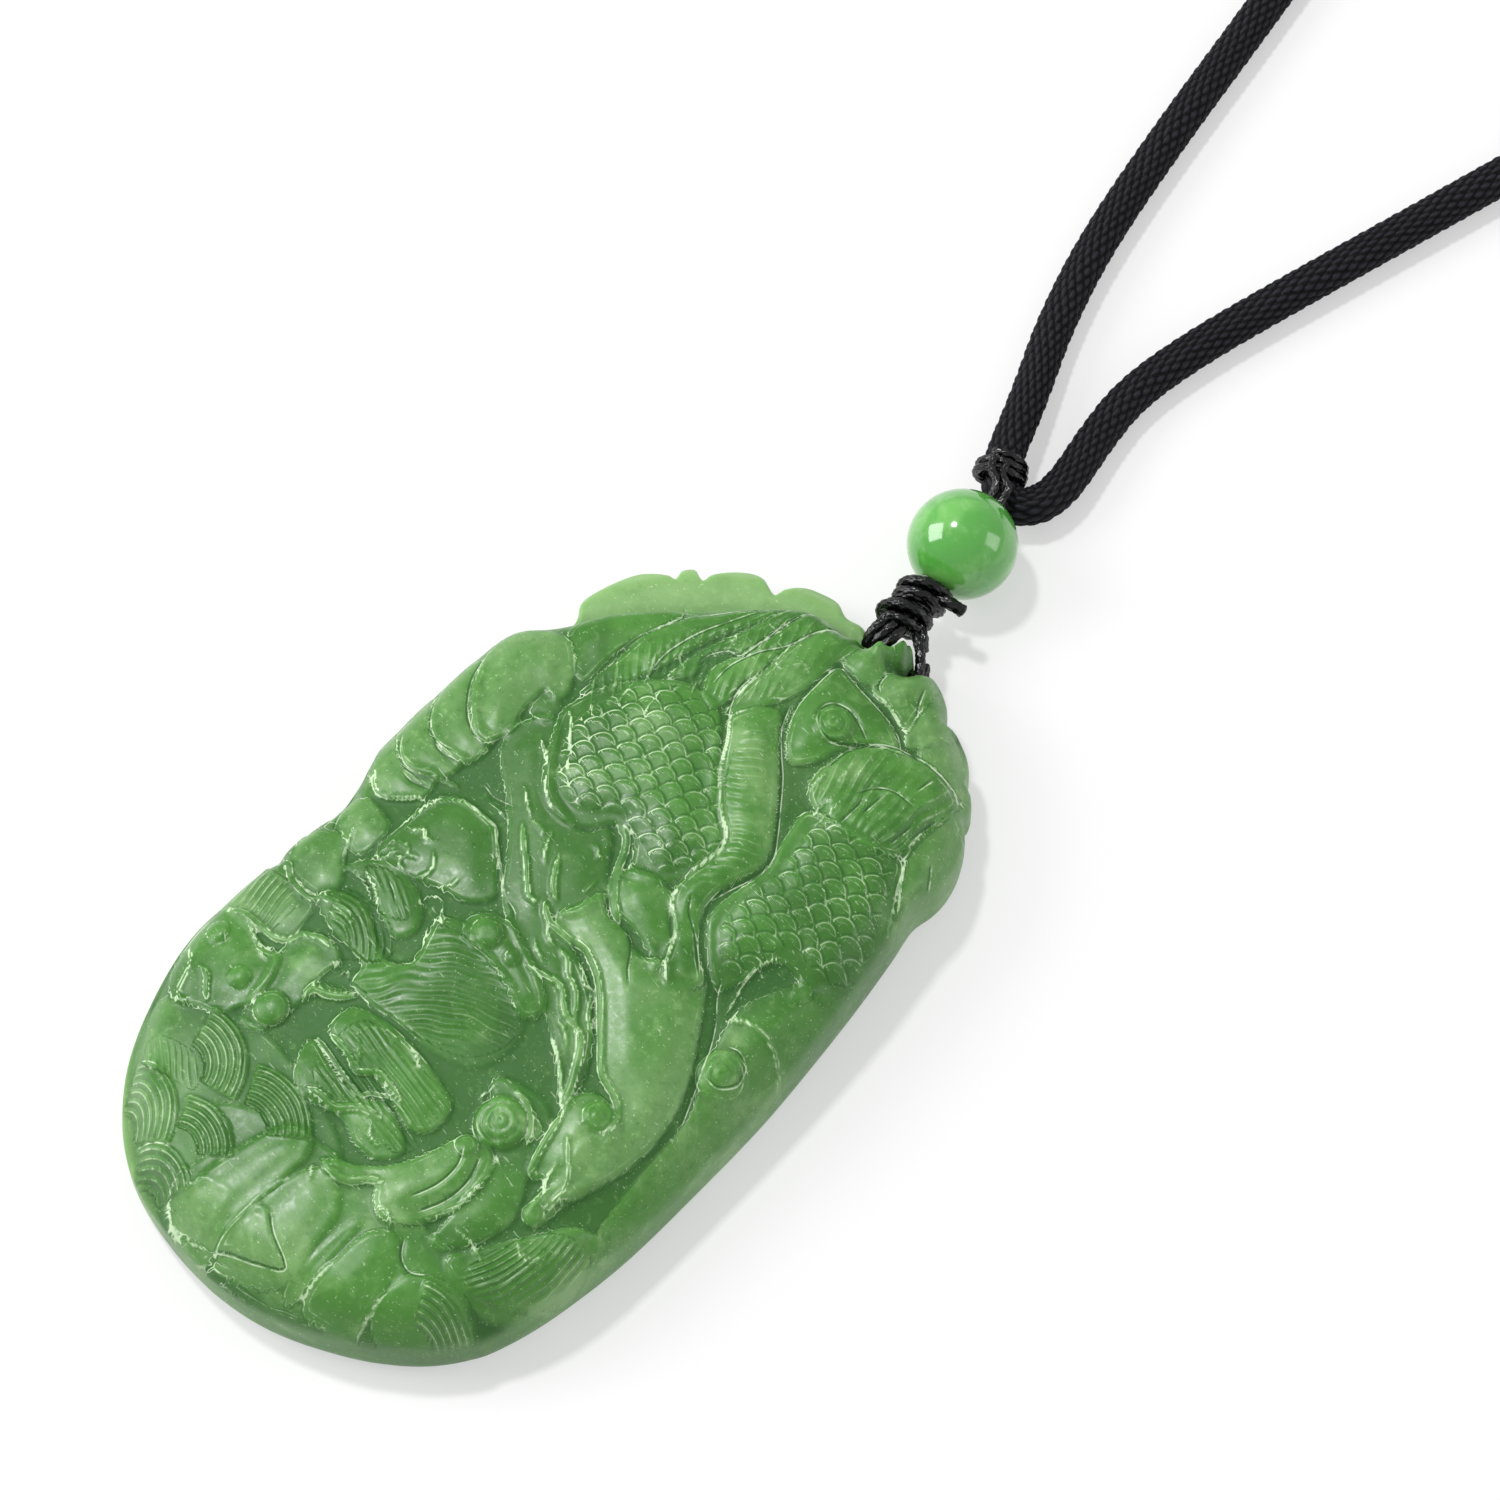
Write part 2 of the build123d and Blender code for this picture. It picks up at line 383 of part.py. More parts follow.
right_run = [
    (-0.49, 47.49, fold_height), (2.19, 47.19, 2.1), (3.98, 49.22, 1.9),
    (3.15, 52.2, 1.7), (1.7, 56, 1.5), (1, 60.4, cord_floor), (1.7, 66.3, cord_floor),
    (3.7, 74, cord_floor), (7.2, 86, cord_floor), (11.2, 100, cord_floor),
    (14.7, 115, cord_floor), (16.8, 132, cord_floor), (17.5, 149, cord_floor),
    (17.1, 167, cord_floor), (17.4, 186, cord_floor), (17.2, 204, cord_floor),
    (17.4, 218.3, cord_floor), (17.3, 229.3, cord_floor), (17, 236.3, cord_floor),
    (14.8, 241.7, closure_height), (11.4, 245.1, closure_height),
]
left_route = [cord_joint] + [Vector(*point) + string_step for point in left_run]
right_route = [cord_joint] + [Vector(*point) + string_step for point in right_run]


def smooth(points, closed, parts=5):
    """Points along a smooth curve through the given ones, with all their columns."""
    table = np.array(points, float)
    if closed:
        table = np.vstack([table[-1], table, table[:2]])
    else:
        table = np.vstack([2 * table[0] - table[1], table, 2 * table[-1] - table[-2]])
    t = np.arange(parts)[:, None] / parts
    runs = []
    for a, b, c, d in zip(table, table[1:], table[2:], table[3:]):
        runs.append(
            b + 0.5 * t * (c - a + t * (2 * a - 5 * b + 4 * c - d + t * (3 * (b - c) + d - a)))
        )
    if not closed:
        runs.append(table[-2:-1])
    return np.vstack(runs)


def nearest_on_line(x, y, line):
    """Distance from each place to a line of points, and how far along its list that is."""
    best = np.full(x.shape, np.inf)
    place = np.zeros(x.shape)
    for index, (start, end) in enumerate(zip(line[:-1], line[1:])):
        run = end[:2] - start[:2]
        t = ((x - start[0]) * run[0] + (y - start[1]) * run[1]) / max(run @ run, 1e-9)
        t = np.clip(t, 0, 1)
        away = np.hypot(x - start[0] - t * run[0], y - start[1] - t * run[1])
        nearer = away < best
        best[nearer] = away[nearer]
        place[nearer] = (index + t)[nearer]
    return best, place


def depth_inside(x, y, loop):
    """Distance from each place to the loop, positive inside it and 0 outside."""
    closed = np.vstack([loop, loop[:1]])
    away, _ = nearest_on_line(x, y, closed)
    inside = np.zeros(x.shape, bool)
    for (x0, y0), (x1, y1) in zip(closed[:-1, :2], closed[1:, :2]):
        crosses = (y0 > y) != (y1 > y)
        at = x0 + (y - y0) * (x1 - x0) / (y1 - y0 if y1 != y0 else 1e-9)
        inside ^= crosses & (x < at)
    return np.where(inside, away, 0.0)


def round_edge(depth, width):
    """Share of full height at this depth inside an edge that is rounded over width."""
    share = np.clip(1 - depth / width, 0, 1)
    return np.sqrt(1 - share**2)


def front_height(x, y):
    """Height of the carved front over the back, at places given in steps."""
    across = x / 19
    along = y / 33.7
    dome = pendant_thickness - side_fall * across**2 - end_fall * along**2
    over = y - np.clip(y, spine_low, spine_high)
    reach = np.maximum(np.hypot(x, over), 1e-6)
    towards_crest = np.clip(((0.66 * over - 0.75 * x) / reach + 0.2) / 0.8, 0, 1)
    band = shoulder * (1 - 0.45 * towards_crest)
    falls = np.clip((reach - (19.4 - band)) / (band + 0.3), 0, 1)
    dome = dome * (1 - 0.95 * (1 - np.sqrt(1 - falls**2)))
    ground = dome - relief_depth
    height = rim_thickness * (0.55 + 0.45 * round_edge(np.clip(19.2 - reach, 0, 9), 1.6))
    for form in forms:
        loop = smooth(form.points, True)
        depth = depth_inside(x, y, loop)
        middle = loop.mean(axis=0)
        top = ground + form.level * relief_depth
        top = top + form.lean[0] * (x - middle[0]) + form.lean[1] * (y - middle[1])
        floor = top - form.drop * relief_depth if form.level else 0.45 * ground
        share = round_edge(depth, form.edge)
        height = np.where(depth > 0, np.maximum(height, floor + (top - floor) * share), height)
    for stroke in strokes:
        line = smooth(stroke.points, False)
        away, place = nearest_on_line(x, y, line)
        half = np.interp(place, np.arange(len(line)), line[:, 2])
        share = np.sqrt(np.clip(1 - (away / half) ** 2, 0, 1))
        height = np.where(
            away < half, np.maximum(height, ground + stroke.level * relief_depth * share), height
        )
    for boss in bosses:
        away = np.hypot(x - boss.x, y - boss.y)
        share = np.sqrt(np.clip(1 - (away / boss.radius) ** 2, 0, 1))
        height = np.where(
            away < boss.radius,
            np.maximum(height, ground + boss.level * relief_depth * share),
            height,
        )
    return height


def rays():
    """Feet on the middle line and unit directions, anticlockwise from the lower right."""
    feet, turns = [], []
    for row in range(side_rows):
        feet.append((0.0, spine_low + (spine_high - spine_low) * row / side_rows))
        turns.append(0.0)
    for row in range(cap_rows):
        feet.append((0.0, spine_high))
        turns.append(pi * row / cap_rows)
    for row in range(side_rows):
        feet.append((0.0, spine_high - (spine_high - spine_low) * row / side_rows))
        turns.append(pi)
    for row in range(cap_rows):
        feet.append((0.0, spine_low))
        turns.append(pi + pi * row / cap_rows)
    turns = np.array(turns)
    return np.array(feet), np.stack([np.cos(turns), np.sin(turns)], axis=1)


def reach_along(foot, way, loop):
    """How far a ray from foot goes before it last crosses the loop."""
    start, end = loop, np.roll(loop, -1, axis=0)
    run, offset = end - start, start - foot
    cross = way[0] * run[:, 1] - way[1] * run[:, 0]
    cross = np.where(abs(cross) < 1e-12, 1e-12, cross)
    ray = (offset[:, 0] * run[:, 1] - offset[:, 1] * run[:, 0]) / cross
    edge = (offset[:, 0] * way[1] - offset[:, 1] * way[0]) / cross
    return ray[(edge >= 0) & (edge <= 1) & (ray > 0)].max()


def carved_levels():
    """Closed rings of points from the middle line to the rim, down the wall to the back."""
    loop = smooth(outline, True, 4)
    feet, ways = rays()
    reach = np.array([reach_along(foot, way, loop) for foot, way in zip(feet, ways)])
    levels = []
    for ring in range(rings + 1):
        share = ring / rings
        places = feet + ways * (share * (reach - edge_inset))[:, None]
        height = front_height(places[:, 0], places[:, 1])
        levels.append(np.column_stack([places, height]))
    top = levels[-1][:, 2]
    for inset, share in [(0.0, 0.6), (0.0, 0.32), (0.35 * back_round, 0.09), (back_round, 0.0)]:
        places = feet + ways * (reach - inset)[:, None]
        levels.append(np.column_stack([places, share * top]))
    return [level * (step_x, step_y, 1) for level in levels]


def carved_faces():
    """Triangles of the carved front and the wall, and one flat face for the back."""
    levels = [[Vector(*map(float, point)) for point in level] for level in carved_levels()]
    faces = []
    for inner, outer in zip(levels, levels[1:]):
        for here in range(len(inner)):
            after = (here + 1) % len(inner)
            corners = [inner[here], outer[here], outer[after], inner[after]]
            if (corners[0] - corners[2]).length < (corners[1] - corners[3]).length:
                halves = [(0, 1, 2), (0, 2, 3)]
            else:
                halves = [(0, 1, 3), (1, 2, 3)]
            if inner is levels[0] and (inner[here] - inner[after]).length < 1e-6:
                halves = [(0, 1, 2)]
            for half in halves:
                points = [corners[k] for k in half]
                faces.append(Face(Wire.make_polygon(points, close=True)))
    faces.append(Face(Wire.make_polygon(levels[-1], close=True)))
    return faces


def corner_radii(points, share=0.45):
    """Largest radius for each corner of a route that its two runs allow."""
    radii = []
    for before, corner, after in zip(points, points[1:], points[2:]):
        run_in, run_out = Vector(corner) - Vector(before), Vector(after) - Vector(corner)
        half_turn = radians(run_in.get_angle(run_out)) / 2
        radii.append(share * min(run_in.length, run_out.length) / tan(half_turn))
    return radii


def string_point(across, up, along):
    """A point given across, above and along the thread line from the bead's centre."""
    return string_plane.from_local_coords(Vector(across, -up, along))


with BuildPart() as pendant:
    add(Solid(Shell(carved_faces())))
    with Locations(Location(thread_hole, (0, 90, 0))):
        Cylinder(thread_hole_radius, thread_hole_length, mode=Mode.SUBTRACT)
pendant.part.label = "pendant"

with BuildPart() as bead:
    with Locations(string_plane):
        Sphere(bead_radius)
        Cylinder(bead_hole_radius, 3 * bead_radius, mode=Mode.SUBTRACT)
bead.part.label = "bead"

with BuildPart() as wrap_knot:
    turn_pitch = knot_length / knot_turns
    turn_wire = turn_pitch / 2
    with Locations(string_plane * Pos(0, 0, knot_top - knot_length / 2)):
        Cylinder(knot_radius - turn_wire, knot_length)
    for turn in range(knot_turns):
        with Locations(string_plane * Pos(0, 0, knot_foot + (turn + 0.5) * turn_pitch)):
            Torus(knot_radius - turn_wire, turn_wire * 0.98)
wrap_knot.part.label = "wrap_knot"

# Thread down the left of the ear, through its hole and up the right to the knot
loop_route = [
    string_point(-leg_spacing, 0, knot_foot),
    string_point(-leg_spacing, 0, knot_foot - leg_run),
    thread_hole + Vector(-2.55, 1.6, 0),
    thread_hole + Vector(-2.65, 0, 0),
    thread_hole + Vector(2.85, 0, 0),
    thread_hole + Vector(2.9, 1.3, 0),
    thread_hole + Vector(2.1, 2.4, 0),
    string_point(leg_spacing, 0, knot_foot - leg_run),
    string_point(leg_spacing, 0, knot_foot),
]
with BuildPart() as pendant_thread:
    with BuildLine() as loop_path:
        FilletPolyline(*loop_route, radius=corner_radii(loop_route))
    with BuildSketch(Plane(origin=loop_path.line @ 0, z_dir=loop_path.line % 0)):
        Circle(thread_bundle / 2)
    sweep()
pendant_thread.part.label = "pendant_thread"

# Thread through the bead, over the fold of the cord and bound round its left half
cord_way = (Vector(left_route[1]) - Vector(left_route[0])).normalized()
binding_radius = cord_diameter / 2 + contact_gap + binding_wire / 2
binding_pitch = binding_wire - contact_gap
strand_height = fold_height + cord_diameter / 2 + contact_gap + thread_bundle / 2
strand_end = Vector(cord_joint.X, cord_joint.Y, strand_height)
with BuildPart() as bead_thread:
    with BuildLine() as strand_path:
        Polyline(
            string_point(0, 0, knot_top),
            string_point(0, 0, bead_radius + 0.1),
            string_point(0, strand_height - bead_radius + 0.1, bead_radius + 1.2),
            strand_end,
        )
    with BuildSketch(Plane(origin=strand_path.line @ 0, z_dir=strand_path.line % 0)):
        Circle(thread_bundle / 2)
    sweep(transition=Transition.ROUND)
    for turn in range(binding_turns):
        along = cord_way * (turn + 0.5 - binding_turns / 2) * binding_pitch
        with Locations(Plane(origin=cord_joint + along, z_dir=cord_way)):
            Torus(binding_radius, binding_wire / 2)
bead_thread.part.label = "bead_thread"


def cord_tube(route):
    """The path and the tube of one half of the neck cord."""
    radii = corner_radii(route)
    print("corner radii:", [round(radius, 1) for radius in radii])
    with BuildPart() as tube:
        with BuildLine() as path:
            FilletPolyline(*route, radius=radii)
        with BuildSketch(Plane(origin=path.line @ 0, z_dir=path.line % 0)):
            Circle(cord_diameter / 2)
        sweep()
    length = sum(edge.length for edge in path.edges())
    section = pi * cord_diameter**2 / 4
    print("length", round(length, 1), "volume / (section x length)", end=" ")
    print(round(tube.part.volume / (section * length), 4))
    return length, tube.part


left_length, left_tube = cord_tube(left_route)
right_length, right_tube = cord_tube(right_route)
with BuildPart() as left_cord:
    add(left_tube)
left_cord.part.label = "left_cord"
with BuildPart() as right_cord:
    add(right_tube)
right_cord.part.label = "right_cord"

# The sleeve follows a quarter turn between the two cord ends, which face each other
closure_start = Vector(right_route[-1])
closure_bend = closure_start.X * 2**0.5
closure_gap = 360 * contact_gap / (2 * pi * closure_bend)
with BuildPart() as closure:
    with BuildLine(Plane.XY.offset(closure_height)) as closure_path:
        turn_centre = (0, closure_start.Y - closure_start.X)
        CenterArc(turn_centre, closure_bend, 45 + closure_gap, 90 - 2 * closure_gap)
    with BuildSketch(Plane(origin=closure_path.line @ 0, z_dir=closure_path.line % 0)):
        Circle(closure_diameter / 2)
    sweep()
closure.part.label = "closure"
closure_length = closure_bend * pi / 2
print("whole neck loop:", round(left_length + right_length + closure_length, 1), "mm")

os.makedirs("parts", exist_ok=True)
for piece in (pendant, bead, wrap_knot, pendant_thread, bead_thread, left_cord, right_cord, closure):
    export_step(piece.part, f"parts/{piece.part.label}.step")
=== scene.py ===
"""Carved jade pendant with a jade bead, hung by waxed thread on a folded braided cord.

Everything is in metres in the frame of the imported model: the pendant's flat back lies on
z = 0, +Y runs from the pendant to the bead and the neck, +X to the carving's right.
The carving is laid out in millimetres and brought to metres where its mesh is made.
"""
from __future__ import annotations
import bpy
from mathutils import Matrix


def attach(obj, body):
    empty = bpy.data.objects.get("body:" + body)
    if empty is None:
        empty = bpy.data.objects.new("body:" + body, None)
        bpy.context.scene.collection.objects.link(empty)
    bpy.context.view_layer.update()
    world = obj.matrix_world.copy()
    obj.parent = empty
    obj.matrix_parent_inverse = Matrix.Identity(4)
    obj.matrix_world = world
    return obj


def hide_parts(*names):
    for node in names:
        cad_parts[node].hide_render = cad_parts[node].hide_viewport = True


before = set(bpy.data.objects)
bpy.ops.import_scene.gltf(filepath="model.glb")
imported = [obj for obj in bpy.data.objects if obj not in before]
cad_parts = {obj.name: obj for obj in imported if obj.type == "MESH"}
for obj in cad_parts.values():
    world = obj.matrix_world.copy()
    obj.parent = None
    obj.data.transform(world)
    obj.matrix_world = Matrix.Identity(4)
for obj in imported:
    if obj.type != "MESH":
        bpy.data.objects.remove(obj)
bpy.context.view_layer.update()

import logging
import math
from dataclasses import dataclass, field
from enum import Enum

import bpy
import numpy as np
from mathutils import Vector

Table = np.ndarray
Piece = bpy.types.Object
Socket = bpy.types.NodeSocket
Given = dict | None  # what a node's settings or inputs are given
Route = tuple[tuple[float, ...], ...]  # places in space
Flat = tuple[float, ...]  # places on the carving, across and along in turn

MM = 0.001
BODY = "root"
SEED = 11
EDGE_REACH = 0.8  # how far from a form's edge its distance is kept
log = logging.getLogger("necklace")


# ---- plain geometry on tables of points ----
def smooth_line(points: Flat, closed: bool, parts: int = 6) -> Table:
    """A smooth curve through given points.

    Args:
        points: the points, across and along in turn.
        closed: whether the last point joins the first.
        parts: how many steps are taken from each point to the next.

    Returns:
        One row for each step along the curve.
    """
    table = np.array(points, float).reshape(-1, 2)
    if closed:
        table = np.vstack([table[-1], table, table[:2]])
    else:
        table = np.vstack([2 * table[0] - table[1], table, 2 * table[-1] - table[-2]])
    t = np.arange(parts)[:, None] / parts
    runs = []
    for a, b, c, d in zip(table, table[1:], table[2:], table[3:]):
        bend = c - a + t * (2 * a - 5 * b + 4 * c - d + t * (3 * (b - c) + d - a))
        runs.append(b + 0.5 * t * bend)
    if not closed:
        runs.append(table[-2:-1])
    return np.vstack(runs)


def nearest_on_line(x: Table, y: Table, line: Table) -> tuple[Table, Table]:
    """How far each place is from a line, and how far along the line's list that is.

    Args:
        x: the places across.
        y: the places along.
        line: the line's points.

    Returns:
        The distances, and the places in the line's list.
    """
    best = np.full(x.shape, np.inf)
    place = np.zeros(x.shape)
    for index, (start, end) in enumerate(zip(line[:-1], line[1:])):
        run = end - start
        t = ((x - start[0]) * run[0] + (y - start[1]) * run[1]) / max(run @ run, 1e-9)
        t = np.clip(t, 0, 1)
        away = np.hypot(x - start[0] - t * run[0], y - start[1] - t * run[1])
        nearer = away < best
        best[nearer] = away[nearer]
        place[nearer] = (index + t)[nearer]
    return best, place


def depth_inside(x: Table, y: Table, loop: Table) -> Table:
    """How deep each place lies inside a closed loop, below 0 outside it.

    Args:
        x: the places across.
        y: the places along.
        loop: the loop's points, the last one joined to the first.

    Returns:
        The depths.
    """
    closed = np.vstack([loop, loop[:1]])
    away, _ = nearest_on_line(x, y, closed)
    inside = np.zeros(x.shape, bool)
    for (x0, y0), (x1, y1) in zip(closed, closed[1:]):
        crosses = (y0 > y) != (y1 > y)
        at = x0 + (y - y0) * (x1 - x0) / (y1 - y0 if y1 != y0 else 1e-9)
        inside ^= crosses & (x < at)
    return np.where(inside, away, -away)


def round_edge(depth: Table, width: float) -> Table:
    """Share of full height at this depth inside an edge that is rounded over width."""
    share = np.clip(1 - depth / width, 0, 1)
    return np.sqrt(1 - share**2)


def close_to(x: Table, y: Table, points: Table, spare: float) -> Table:
    """Numbers of the places that lie in the box round some points, with a spare margin."""
    low, high = points.min(0) - spare, points.max(0) + spare
    return np.flatnonzero((x > low[0]) & (x < high[0]) & (y > low[1]) & (y < high[1]))


def lumps(x: Table, y: Table, size: float, seed: int) -> Table:
    """A gentle unevenness of about the given size, between -1 and 1, the same each run.

    Args:
        x: the places across.
        y: the places along.
        size: how wide a lump is.
        seed: which unevenness it is.

    Returns:
        The unevenness at each place.
    """
    rng = np.random.default_rng(seed)
    total = np.zeros(x.shape)
    for _ in range(6):
        turn = rng.uniform(0, math.tau)
        wave = math.tau / (size * rng.uniform(0.8, 1.6))
        along = x * math.cos(turn) + y * math.sin(turn)
        total += np.sin(along * wave + rng.uniform(0, math.tau))
    return total / 6


# ---- mesh making, as by hand ----
def deselect() -> None:
    """Leaves nothing selected, so that an operator touches only its own piece."""
    if bpy.context.mode != "OBJECT":
        bpy.ops.object.mode_set(mode="OBJECT")
    bpy.ops.object.select_all(action="DESELECT")


def named(name: str) -> Piece:
    """Names the piece that was just added, and its mesh, and gives it back.

    Args:
        name: the name of both.

    Returns:
        The piece.
    """
    piece = bpy.context.active_object
    piece.name = name
    piece.data.name = name
    return piece


def place_mesh() -> None:
    """Puts the active piece's place into its mesh, and its origin at the world's."""
    bpy.ops.object.transform_apply(location=True, rotation=True, scale=True)


def close_mesh() -> None:
    """Merges the active piece's doubles and turns its faces outwards."""
    gap = 2e-7
    bpy.ops.object.mode_set(mode="EDIT")
    bpy.ops.mesh.select_all(action="SELECT")
    bpy.ops.mesh.remove_doubles(threshold=gap)
    bpy.ops.mesh.dissolve_degenerate(threshold=gap)
    bpy.ops.mesh.normals_make_consistent(inside=False)
    bpy.ops.object.mode_set(mode="OBJECT")


def vertices_of(mesh: bpy.types.Mesh) -> Table:
    """A mesh's vertices, in metres."""
    flat = np.empty(len(mesh.vertices) * 3, np.float32)
    mesh.vertices.foreach_get("co", flat)
    return flat.reshape(-1, 3)


def shaped_grid(name: str, table: Table, scale: tuple[float, float]) -> Piece:
    """A grid that is added flat and then moved onto a table of places.

    Args:
        name: the piece's name.
        table: places in millimetres, one row of them for each row of the grid; the last
            column repeats the first where the surface closes on itself.
        scale: what the grid's map measures along its rows and across them.

    Returns:
        The closed piece, smooth and at the world's origin.
    """
    rows, columns = table.shape[:2]
    deselect()
    bpy.ops.mesh.primitive_grid_add(x_subdivisions=columns - 1, y_subdivisions=rows - 1, size=2.0)
    piece = named(name)
    flat = vertices_of(piece.data)
    column = np.rint((flat[:, 0] + 1) / 2 * (columns - 1)).astype(int)
    row = np.rint((flat[:, 1] + 1) / 2 * (rows - 1)).astype(int)
    piece.data.vertices.foreach_set("co", (table[row, column] * MM).ravel())
    layer = piece.data.uv_layers.active.data
    chart = np.empty(len(layer) * 2, np.float32)
    layer.foreach_get("uv", chart)
    layer.foreach_set("uv", (chart.reshape(-1, 2) * scale).ravel())
    piece.data.update()
    close_mesh()
    piece.data.shade_smooth()
    return piece


def keep_numbers(piece: Piece, name: str, values: Table) -> None:
    """Stores one number for each vertex of a piece, for its material."""
    layer = piece.data.attributes.new(name, "FLOAT", "POINT")
    layer.data.foreach_set("value", values.astype(np.float32))


# ---- lines that the cords and threads follow ----
def read_spline(points: Route) -> Table:
    """Points in millimetres of the smooth line that has the given control points.

    Args:
        points: the control points.

    Returns:
        The line's points.
    """
    curve = bpy.data.curves.new("route", "CURVE")
    curve.dimensions = "3D"
    curve.resolution_u = 24
    spline = curve.splines.new("NURBS")
    spline.points.add(len(points) - 1)
    for target, point in zip(spline.points, points):
        target.co = (*(value * MM for value in point), 1.0)
    spline.order_u = 3
    spline.use_endpoint_u = True
    holder = bpy.data.objects.new("route", curve)
    mesh = bpy.data.meshes.new_from_object(holder)
    path = vertices_of(mesh).astype(float) / MM
    bpy.data.objects.remove(holder)
    bpy.data.meshes.remove(mesh)
    bpy.data.curves.remove(curve)
    return path


def even_steps(path: Table, step: float) -> Table:
    """The same line with its points an even step apart.

    Args:
        path: the line's points.
        step: how far apart they are wanted.

    Returns:
        The new points.
    """
    runs = np.linalg.norm(np.diff(path, axis=0), axis=1)
    along = np.concatenate([[0], np.cumsum(runs)])
    wanted = np.linspace(0, along[-1], max(int(round(along[-1] / step)), 2) + 1)
    return np.column_stack([np.interp(wanted, along, path[:, k]) for k in range(3)])


def path_length(path: Table) -> float:
    """Length of a line of points."""
    return float(np.linalg.norm(np.diff(path, axis=0), axis=1).sum())


def frames_along(path: Table) -> tuple[Table, Table]:
    """Two directions across a line at each of its points, carried along without twist.

    Args:
        path: the line's points.

    Returns:
        The first and the second direction at each point.
    """
    ways = np.gradient(path, axis=0)
    ways /= np.linalg.norm(ways, axis=1)[:, None]
    side = np.cross(ways[0], (0.0, 0.0, 1.0))
    if np.linalg.norm(side) < 1e-3:
        side = np.cross(ways[0], (0.0, 1.0, 0.0))
    sides = []
    for way in ways:
        side = side - way * (side @ way)
        side = side / np.linalg.norm(side)
        sides.append(side)
    sides = np.array(sides)
    return sides, np.cross(sides, ways)


def tube_table(path: Table, around: int, radius: Table) -> Table:
    """Places of a closed tube along a line, with its two ends drawn to a point.

    Args:
        path: the line's points.
        around: how many places there are round the tube.
        radius: one radius for each point of the line and each place round it.

    Returns:
        The places, with the first column repeated at the end.
    """
    side, up = frames_along(path)
    turn = np.linspace(0, math.tau, around, endpoint=False)[None, :, None]
    out = np.cos(turn) * side[:, None] + np.sin(turn) * up[:, None]
    table = path[:, None] + out * radius[:, :, None]
    first = np.repeat(path[:1, None], around, axis=1)
    last = np.repeat(path[-1:, None], around, axis=1)
    table = np.concatenate([first, table, last], axis=0)
    return np.concatenate([table, table[:, :1]], axis=1)


# ---- shader maths ----
def linear(code: str) -> tuple[float, float, float, float]:
    """A colour written as six hexadecimal digits, as the shader's own numbers.

    Args:
        code: red, green and blue, two digits each.

    Returns:
        The colour with full opacity.
    """
    parts = [int(code[k : k + 2], 16) / 255 for k in (0, 2, 4)]
    bent = [p / 12.92 if p <= 0.04045 else ((p + 0.055) / 1.055) ** 2.4 for p in parts]
    return (bent[0], bent[1], bent[2], 1.0)


class Value:
    """One number that a shader works out, with arithmetic that adds its Math nodes."""

    def __init__(self, shader: Shader, socket: Socket) -> None:
        """Wraps an output socket of the shader."""
        self.shader = shader
        self.socket = socket

    def _with(self, operation: str, *others: Value | float) -> Value:
        """Adds a Math node on these values and returns its result."""
        sockets = dict(enumerate(others))
        return self.shader.value("ShaderNodeMath", {"operation": operation}, sockets)

    def __add__(self, other: Value | float) -> Value:
        """This value plus another."""
        return self._with("ADD", self, other)

    __radd__ = __add__

    def __sub__(self, other: Value | float) -> Value:
        """This value less another."""
        return self._with("SUBTRACT", self, other)

    def __rsub__(self, other: float) -> Value:
        """A number less this value."""
        return self._with("SUBTRACT", other, self)

    def __mul__(self, other: Value | float) -> Value:
        """This value times another."""
        return self._with("MULTIPLY", self, other)

    __rmul__ = __mul__

    def __truediv__(self, other: Value | float) -> Value:
        """This value over another."""
        return self._with("DIVIDE", self, other)

    def cosine(self) -> Value:
        """The cosine of this value."""
        return self._with("COSINE", self)

    def share(self, low: float, high: float) -> Value:
        """How far this value is from low to high, as a smooth step from 0 to 1.

        Args:
            low: the value that gives 0.
            high: the value that gives 1.

        Returns:
            The step.
        """
        settings = {"interpolation_type": "SMOOTHSTEP", "clamp": True}
        sockets = {"Value": self, "From Min": low, "From Max": high}
        return self.shader.value("ShaderNodeMapRange", settings, sockets)


